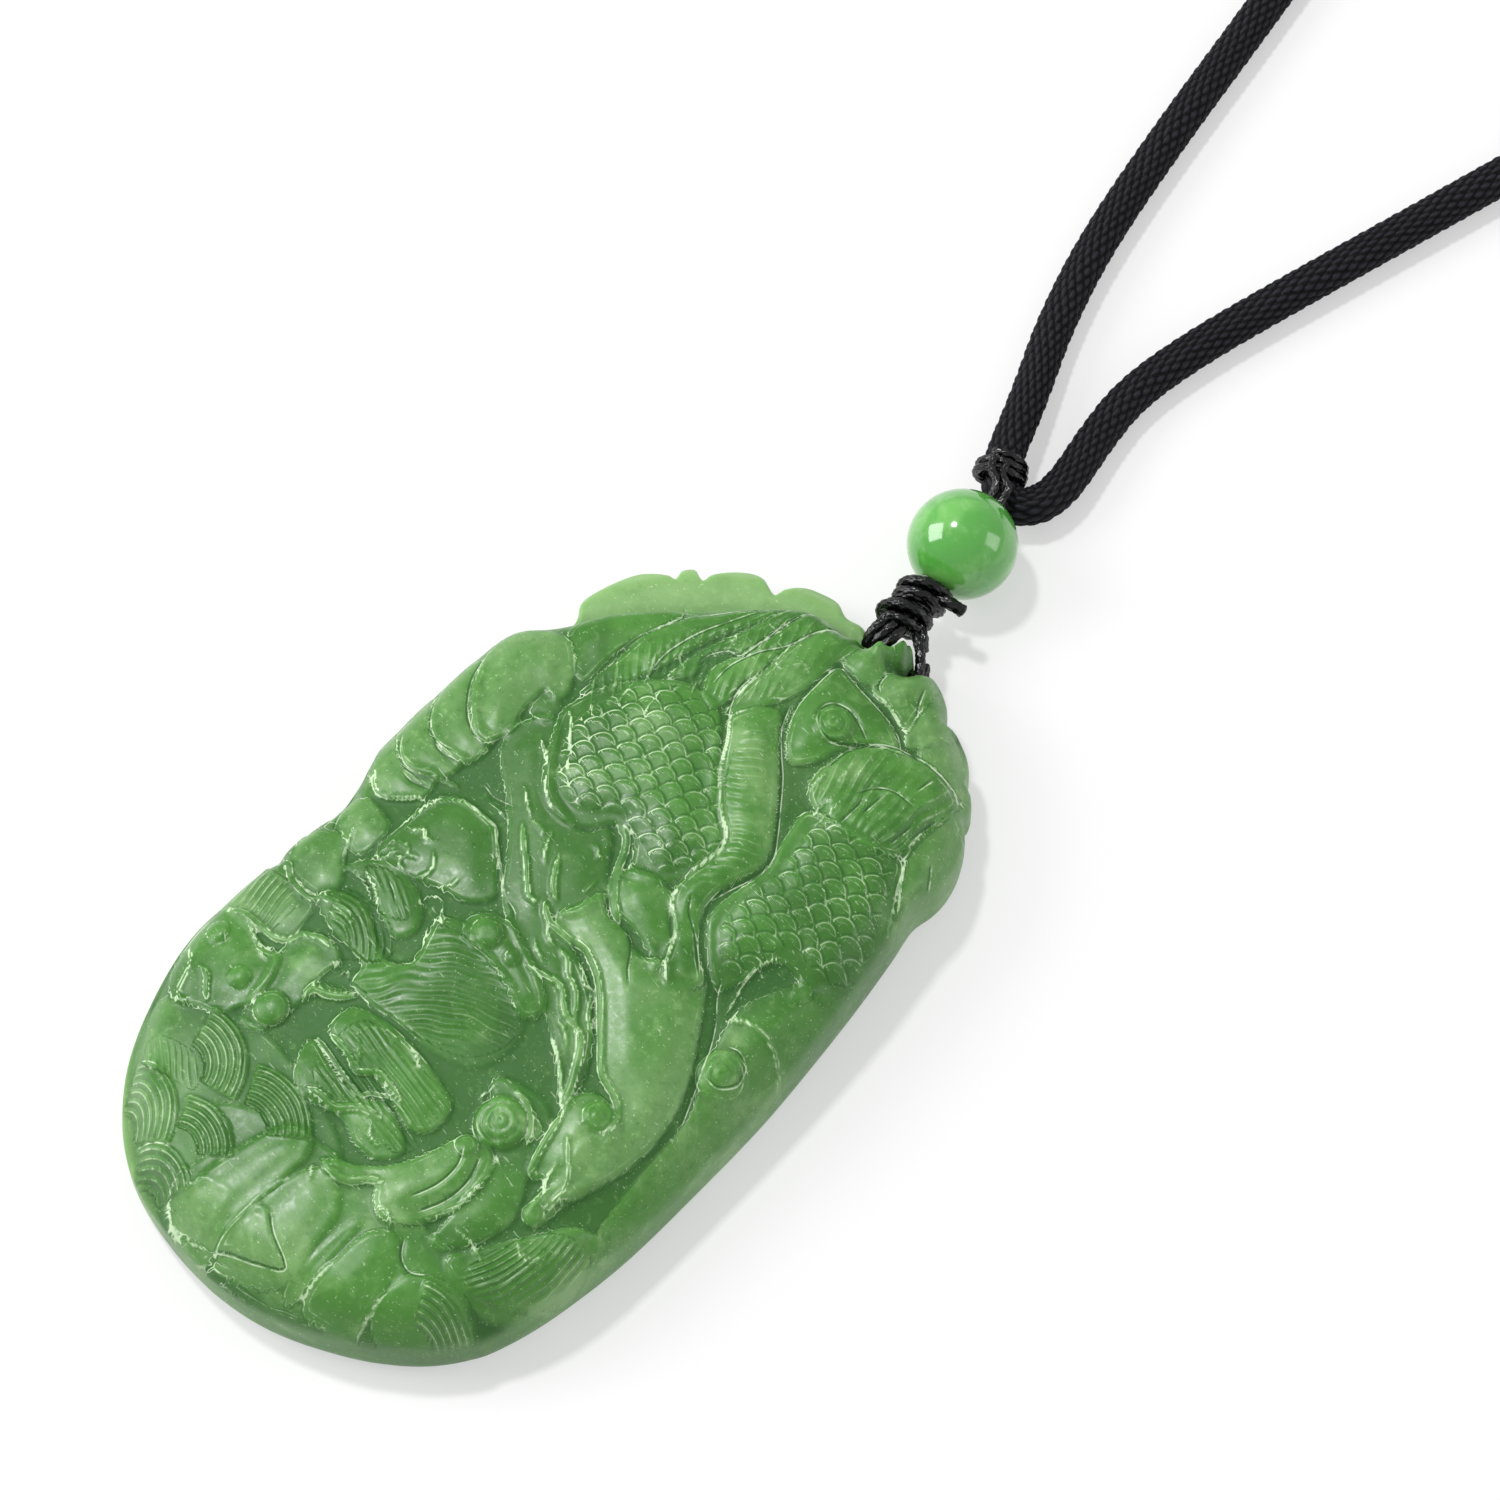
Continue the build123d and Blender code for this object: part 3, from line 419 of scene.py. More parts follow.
class Shader:
    """A material's node tree, with one method that makes every node."""

    def __init__(self, name: str) -> None:
        """Starts a material that holds nothing but its output."""
        self.material = bpy.data.materials.new(name)
        self.material.use_nodes = True
        self.tree = self.material.node_tree
        self.tree.nodes.clear()

    def feed(self, target: Socket, source: object) -> None:
        """Gives one input a value, a link, a colour's six digits or a plain number.

        Args:
            target: the input.
            source: what it is given.
        """
        source = source.socket if isinstance(source, Value) else source
        if isinstance(source, Socket):
            self.tree.links.new(source, target)
        else:
            target.default_value = linear(source) if isinstance(source, str) else source

    def node(self, kind: str, settings: Given = None, sockets: Given = None) -> bpy.types.Node:
        """Adds a node.

        Args:
            kind: the node's type.
            settings: its own settings, such as an operation.
            sockets: what each named or numbered input is given.

        Returns:
            The node.
        """
        node = self.tree.nodes.new(kind)
        for name, value in (settings or {}).items():
            setattr(node, name, value)
        for name, value in (sockets or {}).items():
            self.feed(node.inputs[name], value)
        return node

    def value(self, kind: str, settings: Given = None, sockets: Given = None, output: int | str = 0) -> Value:
        """Adds a node and returns one of its outputs as a value."""
        return Value(self, self.node(kind, settings, sockets).outputs[output])

    def attribute(self, name: str) -> Value:
        """The number that the piece keeps for each vertex under a name."""
        return self.value("ShaderNodeAttribute", {"attribute_name": name}, None, "Fac")

    def place(self) -> Socket:
        """The place on the piece, in metres."""
        return self.node("ShaderNodeTexCoord").outputs["Object"]

    def noise(self, where: Socket, scale: float, detail: float, rough: float, warp: float = 0.0) -> Value:
        """Soft random variation.

        Args:
            where: the coordinates that it follows.
            scale: how many of its lumps there are in a unit of length.
            detail: how many finer layers it has.
            rough: how strong the finer layers are.
            warp: how far it is pulled about.

        Returns:
            The variation, about 0.5.
        """
        sockets = {
            "Vector": where, "Scale": scale, "Detail": detail, "Roughness": rough, "Distortion": warp
        }
        return self.value("ShaderNodeTexNoise", None, sockets, "Fac")

    def stretched(self, where: Socket, turn: float, along: float, across: float) -> Socket:
        """The place, drawn out along one way, for streaks.

        Args:
            where: the place.
            turn: the streaks' way, in degrees from X.
            along: how fast the coordinate runs along them.
            across: how fast it runs across them.

        Returns:
            The drawn-out coordinates.
        """
        size = (1 / along, 1 / across, 1 / across)
        sockets = {"Vector": where, "Rotation": (0, 0, math.radians(turn)), "Scale": size}
        return self.node("ShaderNodeMapping", {"vector_type": "TEXTURE"}, sockets).outputs[0]

    def mix(self, share: Value | float, first: object, second: object) -> Socket:
        """A colour between two others.

        Args:
            share: 0 for the first colour and 1 for the second.
            first: a colour's six digits, or the socket of a colour.
            second: the same for the other colour.

        Returns:
            The mixed colour's socket.
        """
        sockets = {0: share, 6: first, 7: second}
        return self.node("ShaderNodeMix", {"data_type": "RGBA"}, sockets).outputs[2]

    def bump(self, height: Value, depth: float, under: Socket | None = None) -> Socket:
        """A normal that is tilted by a height.

        Args:
            height: the height, of about one unit.
            depth: what one unit is, in metres.
            under: a normal to tilt further.

        Returns:
            The normal's socket.
        """
        sockets: dict = {"Strength": 1.0, "Distance": depth, "Height": height}
        if under is not None:
            sockets["Normal"] = under
        return self.node("ShaderNodeBump", None, sockets).outputs["Normal"]

    def finish(self, sockets: dict) -> bpy.types.Material:
        """Adds the surface with these inputs and gives the material back."""
        surface = self.node("ShaderNodeBsdfPrincipled", None, sockets)
        self.node("ShaderNodeOutputMaterial", None, {"Surface": surface.outputs[0]})
        return self.material


def dress(piece: Piece, material: bpy.types.Material, slot: str, *nodes: str) -> None:
    """Gives a piece its material and body, and hides the nodes that it stands for.

    Args:
        piece: the piece.
        material: its material.
        slot: not used.
        nodes: the names of the nodes that it replaces.
    """
    piece.data.materials.clear()
    piece.data.materials.append(material)
    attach(piece, BODY)
    if nodes:
        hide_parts(*nodes)
    log.info("%s: %d faces", piece.name, len(piece.data.polygons))


# ---- finishes ----
@dataclass(frozen=True)
class CarvedJade:
    """Polished icy jade, cloudy, with painted shade deep in the hollows and painted highlights on its edges,
    broken up in patches.
    """

    # deep green: painted shade in the hollows and along edges and lines, and the darker grain
    deep: str = "235718"
    ground: str = "376a23"
    body: str = "477f2f"
    grey: str = "628c50"
    pale: str = "8cb472"
    glint: str = "d2e6c4"
    roughness: float = 0.36
    groove_depth: float = 0.00006
    grain_depth: float = 0.000008

    def material(self) -> bpy.types.Material:
        """Makes the finish.

        Returns:
            The material, which reads the carving's own numbers.
        """
        s = Shader("carved_jade")
        where = s.place()
        cavity, tone, thin, groove, facing = map(s.attribute, ("cavity", "tone", "thin", "groove", "facing"))
        rim, sure, twin, cut, cutting = map(s.attribute, ("rim", "sure", "twin", "cut", "cutting"))
        line = (s.attribute("phase") * math.tau).cosine()
        cloud = s.noise(where, 75.0, 4.0, 0.55, 0.8)
        vein = s.noise(where, 240.0, 5.0, 0.62, 0.5)
        grain = s.noise(where, 1500.0, 3.0, 0.65, 0.2)
        speck = s.noise(where, 5200.0, 1.0, 0.5)
        streak = s.noise(s.stretched(where, -10.0, 700.0, 4200.0), 1.0, 2.0, 0.5)
        # noise that breaks up the painted highlights into patches
        highlight_breakup = (vein * 0.5 + grain * 0.5).share(0.4, 0.56)
        # painted shade: dark lines on the lower side of edges, along cut lines and in hatched grooves
        dark = self.near(rim, -0.1, 0.1) * sure * 0.6
        dark = dark + self.near(cut, -0.09, 0.09) * cutting * 0.7
        dark = dark + (0.0 - line).share(0.3, 1.0) * groove * 0.45
        # painted highlights: bright lines on edges that face the light, a second line inside the edge, the
        # lips of cut lines and hatched ridges, and painted glints as fine specks and streaks
        lit = facing.share(-0.1, 0.7) * 0.8 + twin * 0.4 + 0.04
        bright = self.near(rim, 0.08, 0.065) * sure * lit
        bright = bright + self.near(rim, 0.42, 0.07) * twin * facing.share(-0.6, 0.4) * 0.6
        bright = bright + self.near(cut, 0.05, 0.06) * cutting * 0.8 + line.share(0.7, 1.0) * groove * 0.5
        bright = bright * (highlight_breakup * 0.8 + 0.2) + (speck - 0.7).share(0.0, 0.06) * 0.5
        bright = bright + (streak - 0.68).share(0.0, 0.06) * 0.4 * (1.0 - thin)
        layers = (
            ((cloud + tone * 0.12).share(0.38, 0.62), self.body),
            ((tone + (vein - 0.5) * 2.2 + (cloud - 0.5) * 2.2).share(0.0, 1.1), self.grey),
            # forms of tone above 0.9 turn pale: the rim outside the body plate, and the facets and the glint,
            # which are painted highlights
            ((tone - 0.9).share(0.0, 0.5) * (highlight_breakup * 0.5 + 0.4), self.pale),
            ((vein * 0.7 + cloud * 0.3 - 0.53).share(0.0, 0.12) * 0.3, self.pale),
            # painted shade in the hollows
            ((0.08 - cavity).share(0.0, 0.5) * 0.8, self.deep),
            ((grain - 0.53).share(0.0, 0.22) * (tone * 0.2 + 0.2), self.pale),
            ((0.47 - grain).share(0.0, 0.2) * 0.25, self.deep),
            (thin * (vein * 0.8 + 0.3), self.pale),
            # the painted shade and the painted highlights worked out above
            (dark.share(0.0, 1.0), self.deep),
            (bright.share(0.0, 1.0) * 0.72, self.glint),
        )
        colour = self.ground
        for share, tint in layers:
            colour = s.mix(share, colour, tint)
        rough = (grain - 0.5) * 0.4 + (0.0 - cavity).share(0.0, 0.4) * 0.25 + self.roughness
        normal = s.bump(vein, self.grain_depth * 4)
        normal = s.bump(grain, self.grain_depth, normal)
        normal = s.bump(line * groove, self.groove_depth, normal)
        return s.finish({
            "Base Color": colour, "Roughness": rough, "Normal": normal, "Subsurface Weight": 0.5,
            "Subsurface Radius": (0.55, 1.0, 0.4), "Subsurface Scale": 0.001, "IOR": 1.6,
            "Specular IOR Level": 0.28,
        })

    @staticmethod
    def near(distance: Value, middle: float, half: float) -> Value:
        """One where a distance is at a middle value, falling to 0 on both sides.

        Args:
            distance: the distance.
            middle: where the band lies.
            half: its half width.

        Returns:
            The band.
        """
        off = (distance - middle) / half
        return (1.0 - off * off).share(0.0, 1.0)


@dataclass(frozen=True)
class PolishedJade:
    """Glassy polished jade with soft clouds and pale veils."""

    deep: str = "4d9a3c"
    body: str = "67ac52"
    pale: str = "93c282"
    roughness: float = 0.12

    def material(self) -> bpy.types.Material:
        """Makes the finish.

        Returns:
            The material.
        """
        s = Shader("polished_jade")
        where = s.place()
        cloud = s.noise(where, 170.0, 4.0, 0.5, 1.2)
        veil = s.noise(where, 420.0, 5.0, 0.65, 0.4)
        colour = s.mix((cloud - 0.42).share(0.0, 0.2), self.deep, self.body)
        colour = s.mix((veil - 0.5).share(0.0, 0.25) * 0.5, colour, self.pale)
        return s.finish({
            "Base Color": colour, "Roughness": (veil - 0.5) * 0.15 + self.roughness,
            "Normal": s.bump(veil, 0.000006), "Subsurface Weight": 0.5,
            "Subsurface Radius": (0.6, 1.0, 0.5), "Subsurface Scale": 0.0025, "IOR": 1.6,
            "Coat Weight": 0.6, "Coat Roughness": 0.04,
        })


@dataclass(frozen=True)
class Yarn:
    """Black yarn: fine fibres on its strands, with a soft or a waxy shine."""

    name: str
    base: str = "020203"
    lit: str = "2b2b33"
    roughness: float = 0.5
    fibres: float = 5000.0
    fibre_depth: float = 0.00003
    shine: float = 0.12

    def material(self) -> bpy.types.Material:
        """Makes the finish.

        Returns:
            The material.
        """
        s = Shader(self.name)
        where, height = s.place(), s.attribute("height")
        fibre = s.noise(where, self.fibres, 3.0, 0.6, 0.4)
        patch = s.noise(where, 700.0, 2.0, 0.5, 0.0)
        # painted light on the strands' crowns and painted shade in the hollows of the braid, broken by the
        # fibres
        colour = s.mix(height.share(0.4, 1.0) * (fibre * 0.7 + 0.3), self.base, self.lit)
        return s.finish({
            "Base Color": colour,
            "Roughness": (fibre - 0.5) * 0.5 + (patch - 0.5) * 0.3 + self.roughness,
            "Normal": s.bump(fibre, self.fibre_depth), "Specular IOR Level": self.shine,
        })


@dataclass(frozen=True)
class PaleFloor:
    """A plain white matt surface."""

    white: str = "aaaaaa"
    glow: float = 0.47

    def material(self) -> bpy.types.Material:
        """Makes the finish.

        Returns:
            The material.
        """
        s = Shader("pale_floor")
        return s.finish({
            "Base Color": self.white, "Roughness": 0.9, "Specular IOR Level": 0.1,
            "Emission Color": "ffffff", "Emission Strength": self.glow,
        })


# ---- the neck cord ----
class Side(Enum):
    """Which half of the folded neck cord a piece is."""

    LEFT = "left_cord"
    RIGHT = "right_cord"


CORD_ROUTES: dict[Side, Route] = {
    Side.LEFT: (
        (-1.85, 48.65, 2.25), (-2.85, 50.6, 2.2), (-3.75, 53, 2.0), (-5.0, 56, 1.7), (-7.3, 61.2, 1.48),
        (-9.5, 68.4, 1.48), (-11.4, 79, 1.48), (-13.2, 91.6, 1.48), (-15.5, 106, 1.48),
        (-17, 124, 1.48), (-17.5, 143, 1.48), (-17.1, 163, 1.48), (-17.4, 184, 1.48),
        (-17.2, 203, 1.48), (-17.4, 218.3, 1.48), (-17.3, 229.3, 1.48),
        (-17, 236.3, 1.48), (-14.8, 241.7, 2.5), (-11.4, 245.1, 2.5),
    ),
    Side.RIGHT: (
        (-1.85, 48.65, 2.25), (-0.75, 47.65, 2.15), (0.75, 47.7, 2.05), (1.75, 48.95, 2.0),
        (2.0, 50.8, 1.9), (1.75, 52.8, 1.75), (1.1, 56, 1.55), (0.6, 60.4, 1.48), (1.6, 66.3, 1.48),
        (3.7, 74, 1.48), (7.2, 86, 1.48), (11.2, 100, 1.48), (14.7, 115, 1.48),
        (16.8, 132, 1.48), (17.5, 149, 1.48), (17.1, 167, 1.48), (17.4, 186, 1.48),
        (17.2, 204, 1.48), (17.4, 218.3, 1.48), (17.3, 229.3, 1.48),
        (17, 236.3, 1.48), (14.8, 241.7, 2.5), (11.4, 245.1, 2.5),
    ),
}


def plait(turn: Table, along: Table, low: float, power: float) -> Table:
    """Height of plaited strands, from 0 to 1.

    Args:
        turn: how many strands round the cord each place lies.
        along: how many cells along it.
        low: how high a strand still is where it dips under another.
        power: how full a strand is between two dips.

    Returns:
        The heights.
    """
    one, two = turn + along, turn - along
    over = (np.floor(one) + np.floor(two)) % 2 < 1
    across, length = np.where(over, one % 1, two % 1), np.where(over, two % 1, one % 1)
    crown = np.clip(1 - (2 * across - 1) ** 2, 0, 1) ** 0.6
    return crown * (low + (1 - low) * np.sin(math.pi * length) ** power)


def drawn_in(count: int, start: float, over: float, power: float, late: int = 0) -> Table:
    """Share of full width at each ring of a tube whose ends are drawn in.

    Args:
        count: how many rings there are.
        start: how many rings the first one counts as.
        over: how many rings the draw takes.
        power: how round it is.
        late: how many fewer rings the draw takes at the last end.

    Returns:
        The shares, one row for each ring.
    """
    ends = np.minimum(np.arange(count), np.arange(count)[::-1] + late)
    return np.clip((ends + start) / over, 0, 1)[:, None] ** power


@dataclass
class NeckCord:
    """One half of the braided neck cord, from the fold to the closure behind the neck."""

    side: Side
    diameter: float = 2.9
    strands: int = 14
    cell_length: float = 1.5
    relief: float = 0.28
    around: int = 84
    step: float = 0.21
    path: Table = field(init=False)

    def __post_init__(self) -> None:
        """Reads the line that the cord follows."""
        self.path = even_steps(read_spline(CORD_ROUTES[self.side]), self.step)

    def strand_height(self) -> Table:
        """How high the strands stand, from 0 to 1, at each ring and each place round it.

        Returns:
            The heights, one row for each ring.
        """
        count = len(self.path)
        along = np.arange(count)[:, None] * self.step / self.cell_length
        turn = np.arange(self.around)[None, :] / self.around * self.strands
        wander = 0.12 * np.sin(along * 0.61 + turn * 0.9) + 0.1 * np.sin(along * 0.23)
        return plait(turn + wander, along, 0.35, 0.8)

    def build(self) -> Piece:
        """Makes the plaited tube.

        Returns:
            The piece.
        """
        radius = self.diameter / 2 - self.relief + self.relief * self.strand_height()
        radius = radius * drawn_in(len(self.path), 1, 3, 0.5, late=2)
        table = tube_table(self.path, self.around, radius)
        chart = (math.pi * self.diameter * MM, path_length(self.path) * MM)
        piece = shaped_grid(self.side.value + "_braid", table, chart)
        keep_numbers(piece, "height", self.height_at(vertices_of(piece.data).astype(float) / MM))
        return piece

    def height_at(self, places: Table) -> Table:
        """How far each place stands out of the braid's hollows, from 0 to 1.

        Args:
            places: places in millimetres.

        Returns:
            The heights.
        """
        parts = np.array_split(places, len(places) // 4000 + 1)
        away = [np.linalg.norm(part - self.nearest(part), axis=1) for part in parts]
        low = self.diameter / 2 - self.relief
        return np.clip((np.concatenate(away) - low) / self.relief, 0, 1)

    def nearest(self, places: Table) -> Table:
        """The nearest points of the cord's own line.

        Args:
            places: places in millimetres.

        Returns:
            One point for each place.
        """
        gaps = ((places[:, None] - self.path[None, ::4]) ** 2).sum(2)
        near = np.clip(gaps.argmin(1) * 4, 1, len(self.path) - 2)
        start, end = self.path[near - 1], self.path[near + 1]
        run = end - start
        t = ((places - start) * run).sum(1) / (run * run).sum(1)
        return start + run * np.clip(t, 0, 1)[:, None]


# ---- threads ----
@dataclass
class PliedThread:
    """A thick waxed thread of plaited plies along a line."""

    name: str
    points: Route
    radius: float
    plies: int = 6
    lay_length: float = 0.9
    relief: float = 0.1
    around: int = 28
    step: float = 0.07

    def build(self) -> Piece:
        """Makes the thread as one closed tube.

        Returns:
            The piece.
        """
        path = even_steps(read_spline(self.points), self.step)
        count = len(path)
        along = np.arange(count)[:, None] * self.step / self.lay_length
        turn = np.arange(self.around)[None, :] / self.around * self.plies
        radius = self.radius - self.relief + self.relief * plait(turn, along, 0.3, 1.0)
        table = tube_table(path, self.around, radius * drawn_in(count, 1, 3, 0.5))
        chart = (math.tau * self.radius * MM, path_length(path) * MM)
        piece = shaped_grid(self.name, table, chart)
        keep_numbers(piece, "height", np.full(len(piece.data.vertices), 0.6))
        return piece


BEAD_CENTRE = (0.35, 42.05, 4.0)
THREAD_LEAN = 7.3  # degrees that the thread leans to the left of +Y
THREAD_HOLE = (2.3, 31.3, 4.4)


def string_point(across: float, up: float, along: float) -> tuple[float, float, float]:
    """A place given along the thread's own line, which leans to the left of +Y.

    Args:
        across: to the right of the line.
        up: above the bead's middle.
        along: from the bead's middle towards the neck.

    Returns:
        The place in millimetres.
    """
    lean = math.radians(THREAD_LEAN)
    x = BEAD_CENTRE[0] + across * math.cos(lean) - along * math.sin(lean)
    y = BEAD_CENTRE[1] + across * math.sin(lean) + along * math.cos(lean)
    return (x, y, BEAD_CENTRE[2] + up)


def string_route(*spots: tuple[float, float, float]) -> Route:
    """A route whose places are given as string_point takes them."""
    return tuple(string_point(*spot) for spot in spots)


@dataclass
class Bead:
    """The round jade bead, drilled along the thread."""

    radius: float = 4.0
    hole: float = 0.85
    segments: int = 96
    rings: int = 72

    def build(self) -> Piece:
        """Makes the ball, opens its poles and bridges them into the hole.

        Returns:
            The piece.
        """
        deselect()
        bpy.ops.mesh.primitive_uv_sphere_add(
            segments=self.segments, ring_count=self.rings, radius=self.radius * MM,
            location=tuple(value * MM for value in BEAD_CENTRE),
            rotation=(math.radians(-90), 0, math.radians(THREAD_LEAN)),
        )
        piece = named("jade_bead")
        poles = [v.index for v in piece.data.vertices if math.hypot(v.co.x, v.co.y) < self.hole * MM]
        self.choose(piece, poles)
        bpy.ops.mesh.delete(type="VERT")
        bpy.ops.mesh.select_all(action="SELECT")
        bpy.ops.mesh.region_to_loop()
        bpy.ops.mesh.bridge_edge_loops(number_cuts=4, smoothness=0)
        bpy.ops.object.mode_set(mode="OBJECT")
        place_mesh()
        close_mesh()
        piece.data.shade_smooth()
        return piece

    @staticmethod
    def choose(piece: Piece, which: list[int]) -> None:
        """Selects these vertices of the active piece and enters edit mode.

        Args:
            piece: the active piece.
            which: the vertices' numbers.
        """
        bpy.ops.object.mode_set(mode="EDIT")
        bpy.ops.mesh.select_mode(type="VERT")
        bpy.ops.mesh.select_all(action="DESELECT")
        bpy.ops.object.mode_set(mode="OBJECT")
        for index in which:
            piece.data.vertices[index].select = True
        bpy.ops.object.mode_set(mode="EDIT")


def joined(name: str, *threads: PliedThread) -> Piece:
    """Several threads as one piece.

    Args:
        name: the piece's name.
        threads: the threads, which are built here.

    Returns:
        The piece.
    """
    parts = [thread.build() for thread in threads]
    deselect()
    for part in parts:
        part.select_set(True)
    bpy.context.view_layer.objects.active = parts[0]
    bpy.ops.object.join()
    return named(name)


@dataclass
class WrapKnot:
    """The knot of wound thread between the pendant and the bead, with its cut ends."""

    radius: float = 1.55
    turns: float = 5.4
    length: float = 4.1

    def winding(self) -> Route:
        """Control points of the wound thread, from the bead down to the pendant.

        Returns:
            The points.
        """
        count = int(self.turns * 12)
        points = []
        for k in range(count + 1):
            turn = k / 12 * math.tau
            share = k / count
            wide = self.radius * (1.0 + 0.13 * math.sin(share * 9.2 + 0.6))
            slip = 0.2 * math.sin(turn * 0.5 + 1.0) + 0.35 * math.cos(turn)
            along = -4.75 - share * (self.length - 0.95) + slip
            points.append(string_point(wide * math.cos(turn) - 0.25 * share, wide * math.sin(turn), along))
        return tuple(points)

    def build(self) -> Piece:
        """Makes the winding, its filled core and its two cut ends.

        Returns:
            The piece.
        """
        core = string_route((0, 0, -4.15), (0, 0, -5.6), (-0.3, 0, -8.0))
        stub = string_route((0.6, 0.4, -5.0), (1.5, 0.9, -4.9), (2.5, 0.9, -4.75), (3.3, 0.6, -4.7))
        tail = string_route((1.0, 0.2, -7.0), (1.7, 0.3, -7.6), (2.2, 0.2, -8.2), (2.5, -0.1, -8.7))
        return joined(
            "wound_knot",
            PliedThread("winding", self.winding(), 0.41),
            PliedThread("core", core, 1.3, plies=14, around=56),
            PliedThread("stub", stub, 0.5),
            PliedThread("tail", tail, 0.4),
        )


@dataclass
class HangingLoop:
    """The doubled thread from the knot through the pendant's hole."""

    def build(self) -> Piece:
        """Makes the bundle at the left, the strand through the hole and the loose end.

        Returns:
            The piece.
        """
        x, y, z = THREAD_HOLE
        strands = []
        for side, gap in enumerate((-0.72, 0.0, 0.72)):
            route = (
                string_point(-0.5 + gap, 0.2, -7.2),
                (1.35 + gap, y + 2.5 - gap * 0.4, z + 0.9),
                (1.2 + gap, y + 1.3 - gap * 0.4, z + 0.8),
                (1.05 + gap * 0.9, y + 0.4, z + 0.3),
                (1.2 + gap * 0.6, y - 0.1, z - 0.1),
            )
            strands.append(PliedThread(f"left_{side}", route, 0.42))
        through = (
            (x - 1.2, y, z), (x + 1.0, y, z), (x + 2.4, y, z - 0.05), (x + 2.85, y + 0.5, z),
            (x + 2.2, y + 1.5, z + 0.2), (x + 1.2, y + 2.5, z + 0.3), string_point(0.4, 0.1, -7.3),
        )
        loose = (
            (x + 2.3, y + 1.9, z - 0.5), (x + 3.1, y + 0.9, z - 0.7),
            (x + 3.6, y + 0.1, z - 1.2), (x + 3.6, y - 0.7, z - 1.9),
        )
        strands += [PliedThread("right", through, 0.4), PliedThread("loose", loose, 0.38)]
        return joined("hanging_loop", *strands)


@dataclass
class FoldBinding:
    """The thread that comes out of the bead, goes over the cord's fold and binds it."""

    wire: float = 0.33
    turns: float = 2.4

    def build(self) -> Piece:
        """Makes the strands through the bead and the turns round the cord.

        Returns:
            The piece.
        """
        joint = np.array((-2.0, 49.0, 2.25))
        way = np.array(CORD_ROUTES[Side.LEFT][1]) - joint
        way /= np.linalg.norm(way)
        side = np.cross(way, (0, 0, 1.0))
        points = []
        count = int(self.turns * 12)
        for k in range(count + 1):
            turn = k / 12 * math.tau
            wide = 1.45 + self.wire * 0.9 + 0.05 * math.sin(turn * 0.37)
            spot = joint + way * (k / count - 0.5) * 1.5 + side * wide * math.cos(turn)
            points.append((*spot[:2], max(spot[2] + wide * math.sin(turn), self.wire)))
        strands = [PliedThread("turns", tuple(points), self.wire)]
        for index, gap in enumerate((-0.32, 0.32)):
            route = (
                *string_route((gap, 0, -4.1), (gap, 0, 0), (gap, 0, 4.0), (gap * 1.6, 0.6, 5.4)),
                (joint[0] + gap * 1.6, joint[1] - 0.9, 4.1),
                (joint[0] + gap * 1.6, joint[1] + 0.2, 4.15),
            )
            strands.append(PliedThread(f"strand_{index}", route, self.wire))
        return joined("fold_binding", *strands)


@dataclass
class Closure:
    """The plain curved sleeve of wound thread over the cord's two ends."""

    centre_y: float = 233.7
    height: float = 2.5
    radius: float = 2.5
    bend: float = 16.12
    winding: float = 0.42
    ridge_height: float = 0.08
    ends: tuple[float, float] = (45.3, 134.7)
    rings: int = 420
    around: int = 48

    def build(self) -> Piece:
        """Makes the sleeve with the turns of its thread.

        Returns:
            The piece.
        """
        turn = np.radians(np.linspace(*self.ends, self.rings))
        path = self.bend * np.column_stack([np.cos(turn), np.sin(turn), 0 * turn])
        path += (0, self.centre_y, self.height)
        along = np.arange(self.rings)[:, None] * path_length(path) / self.rings
        lead = np.arange(self.around)[None, :] / self.around
        ridge = np.abs(np.sin(math.pi * (along / self.winding + lead))) ** 0.7
        radius = self.radius - 0.09 + self.ridge_height * ridge
        table = tube_table(path, self.around, radius * drawn_in(self.rings, 3, 10, 0.4))
        piece = shaped_grid("neck_sleeve", table, (0.0157, 0.0253))
        keep_numbers(piece, "height", np.full(len(piece.data.vertices), 0.5))
        return piece


# ---- carving data, in millimetres on the pendant's face ----
@dataclass(frozen=True)
class Pad:
    """A closed form that stands up from the ground of the carving."""

    top: float
    edge: float
    drop: float
    points: Flat
    lean: tuple[float, float] = (0.0, 0.0)
    tone: float = 0.0


@dataclass(frozen=True)
class Stroke:
    """A thin line: a raised band of some half width, or one cut where that is 0."""

    half: float
    points: Flat


@dataclass(frozen=True)
class Fan:
    """Part of a ring of parallel arcs, as a wave is carved."""

    x: float
    y: float
    outer: float
    inner: float
    way: float
    spread: float


@dataclass(frozen=True)
class Knob:
    """A round button, with rings cut round it where it is a curl."""

    x: float
    y: float
    radius: float
    rings: float = 0.0


class Flow(Enum):
    """How the fine lines of a hatched field run."""

    STRAIGHT = "straight"
    RINGS = "rings"
    RAYS = "rays"


@dataclass(frozen=True)
class Hatch:
    """A field of fine parallel lines, rings round a centre or rays out of it."""

    flow: Flow
    spacing: float
    depth: float
    at: tuple[float, float]
    points: Flat


@dataclass(frozen=True)
class Scales:
    """A field of overlapping scales."""

    size: float
    turn: float
    points: Flat


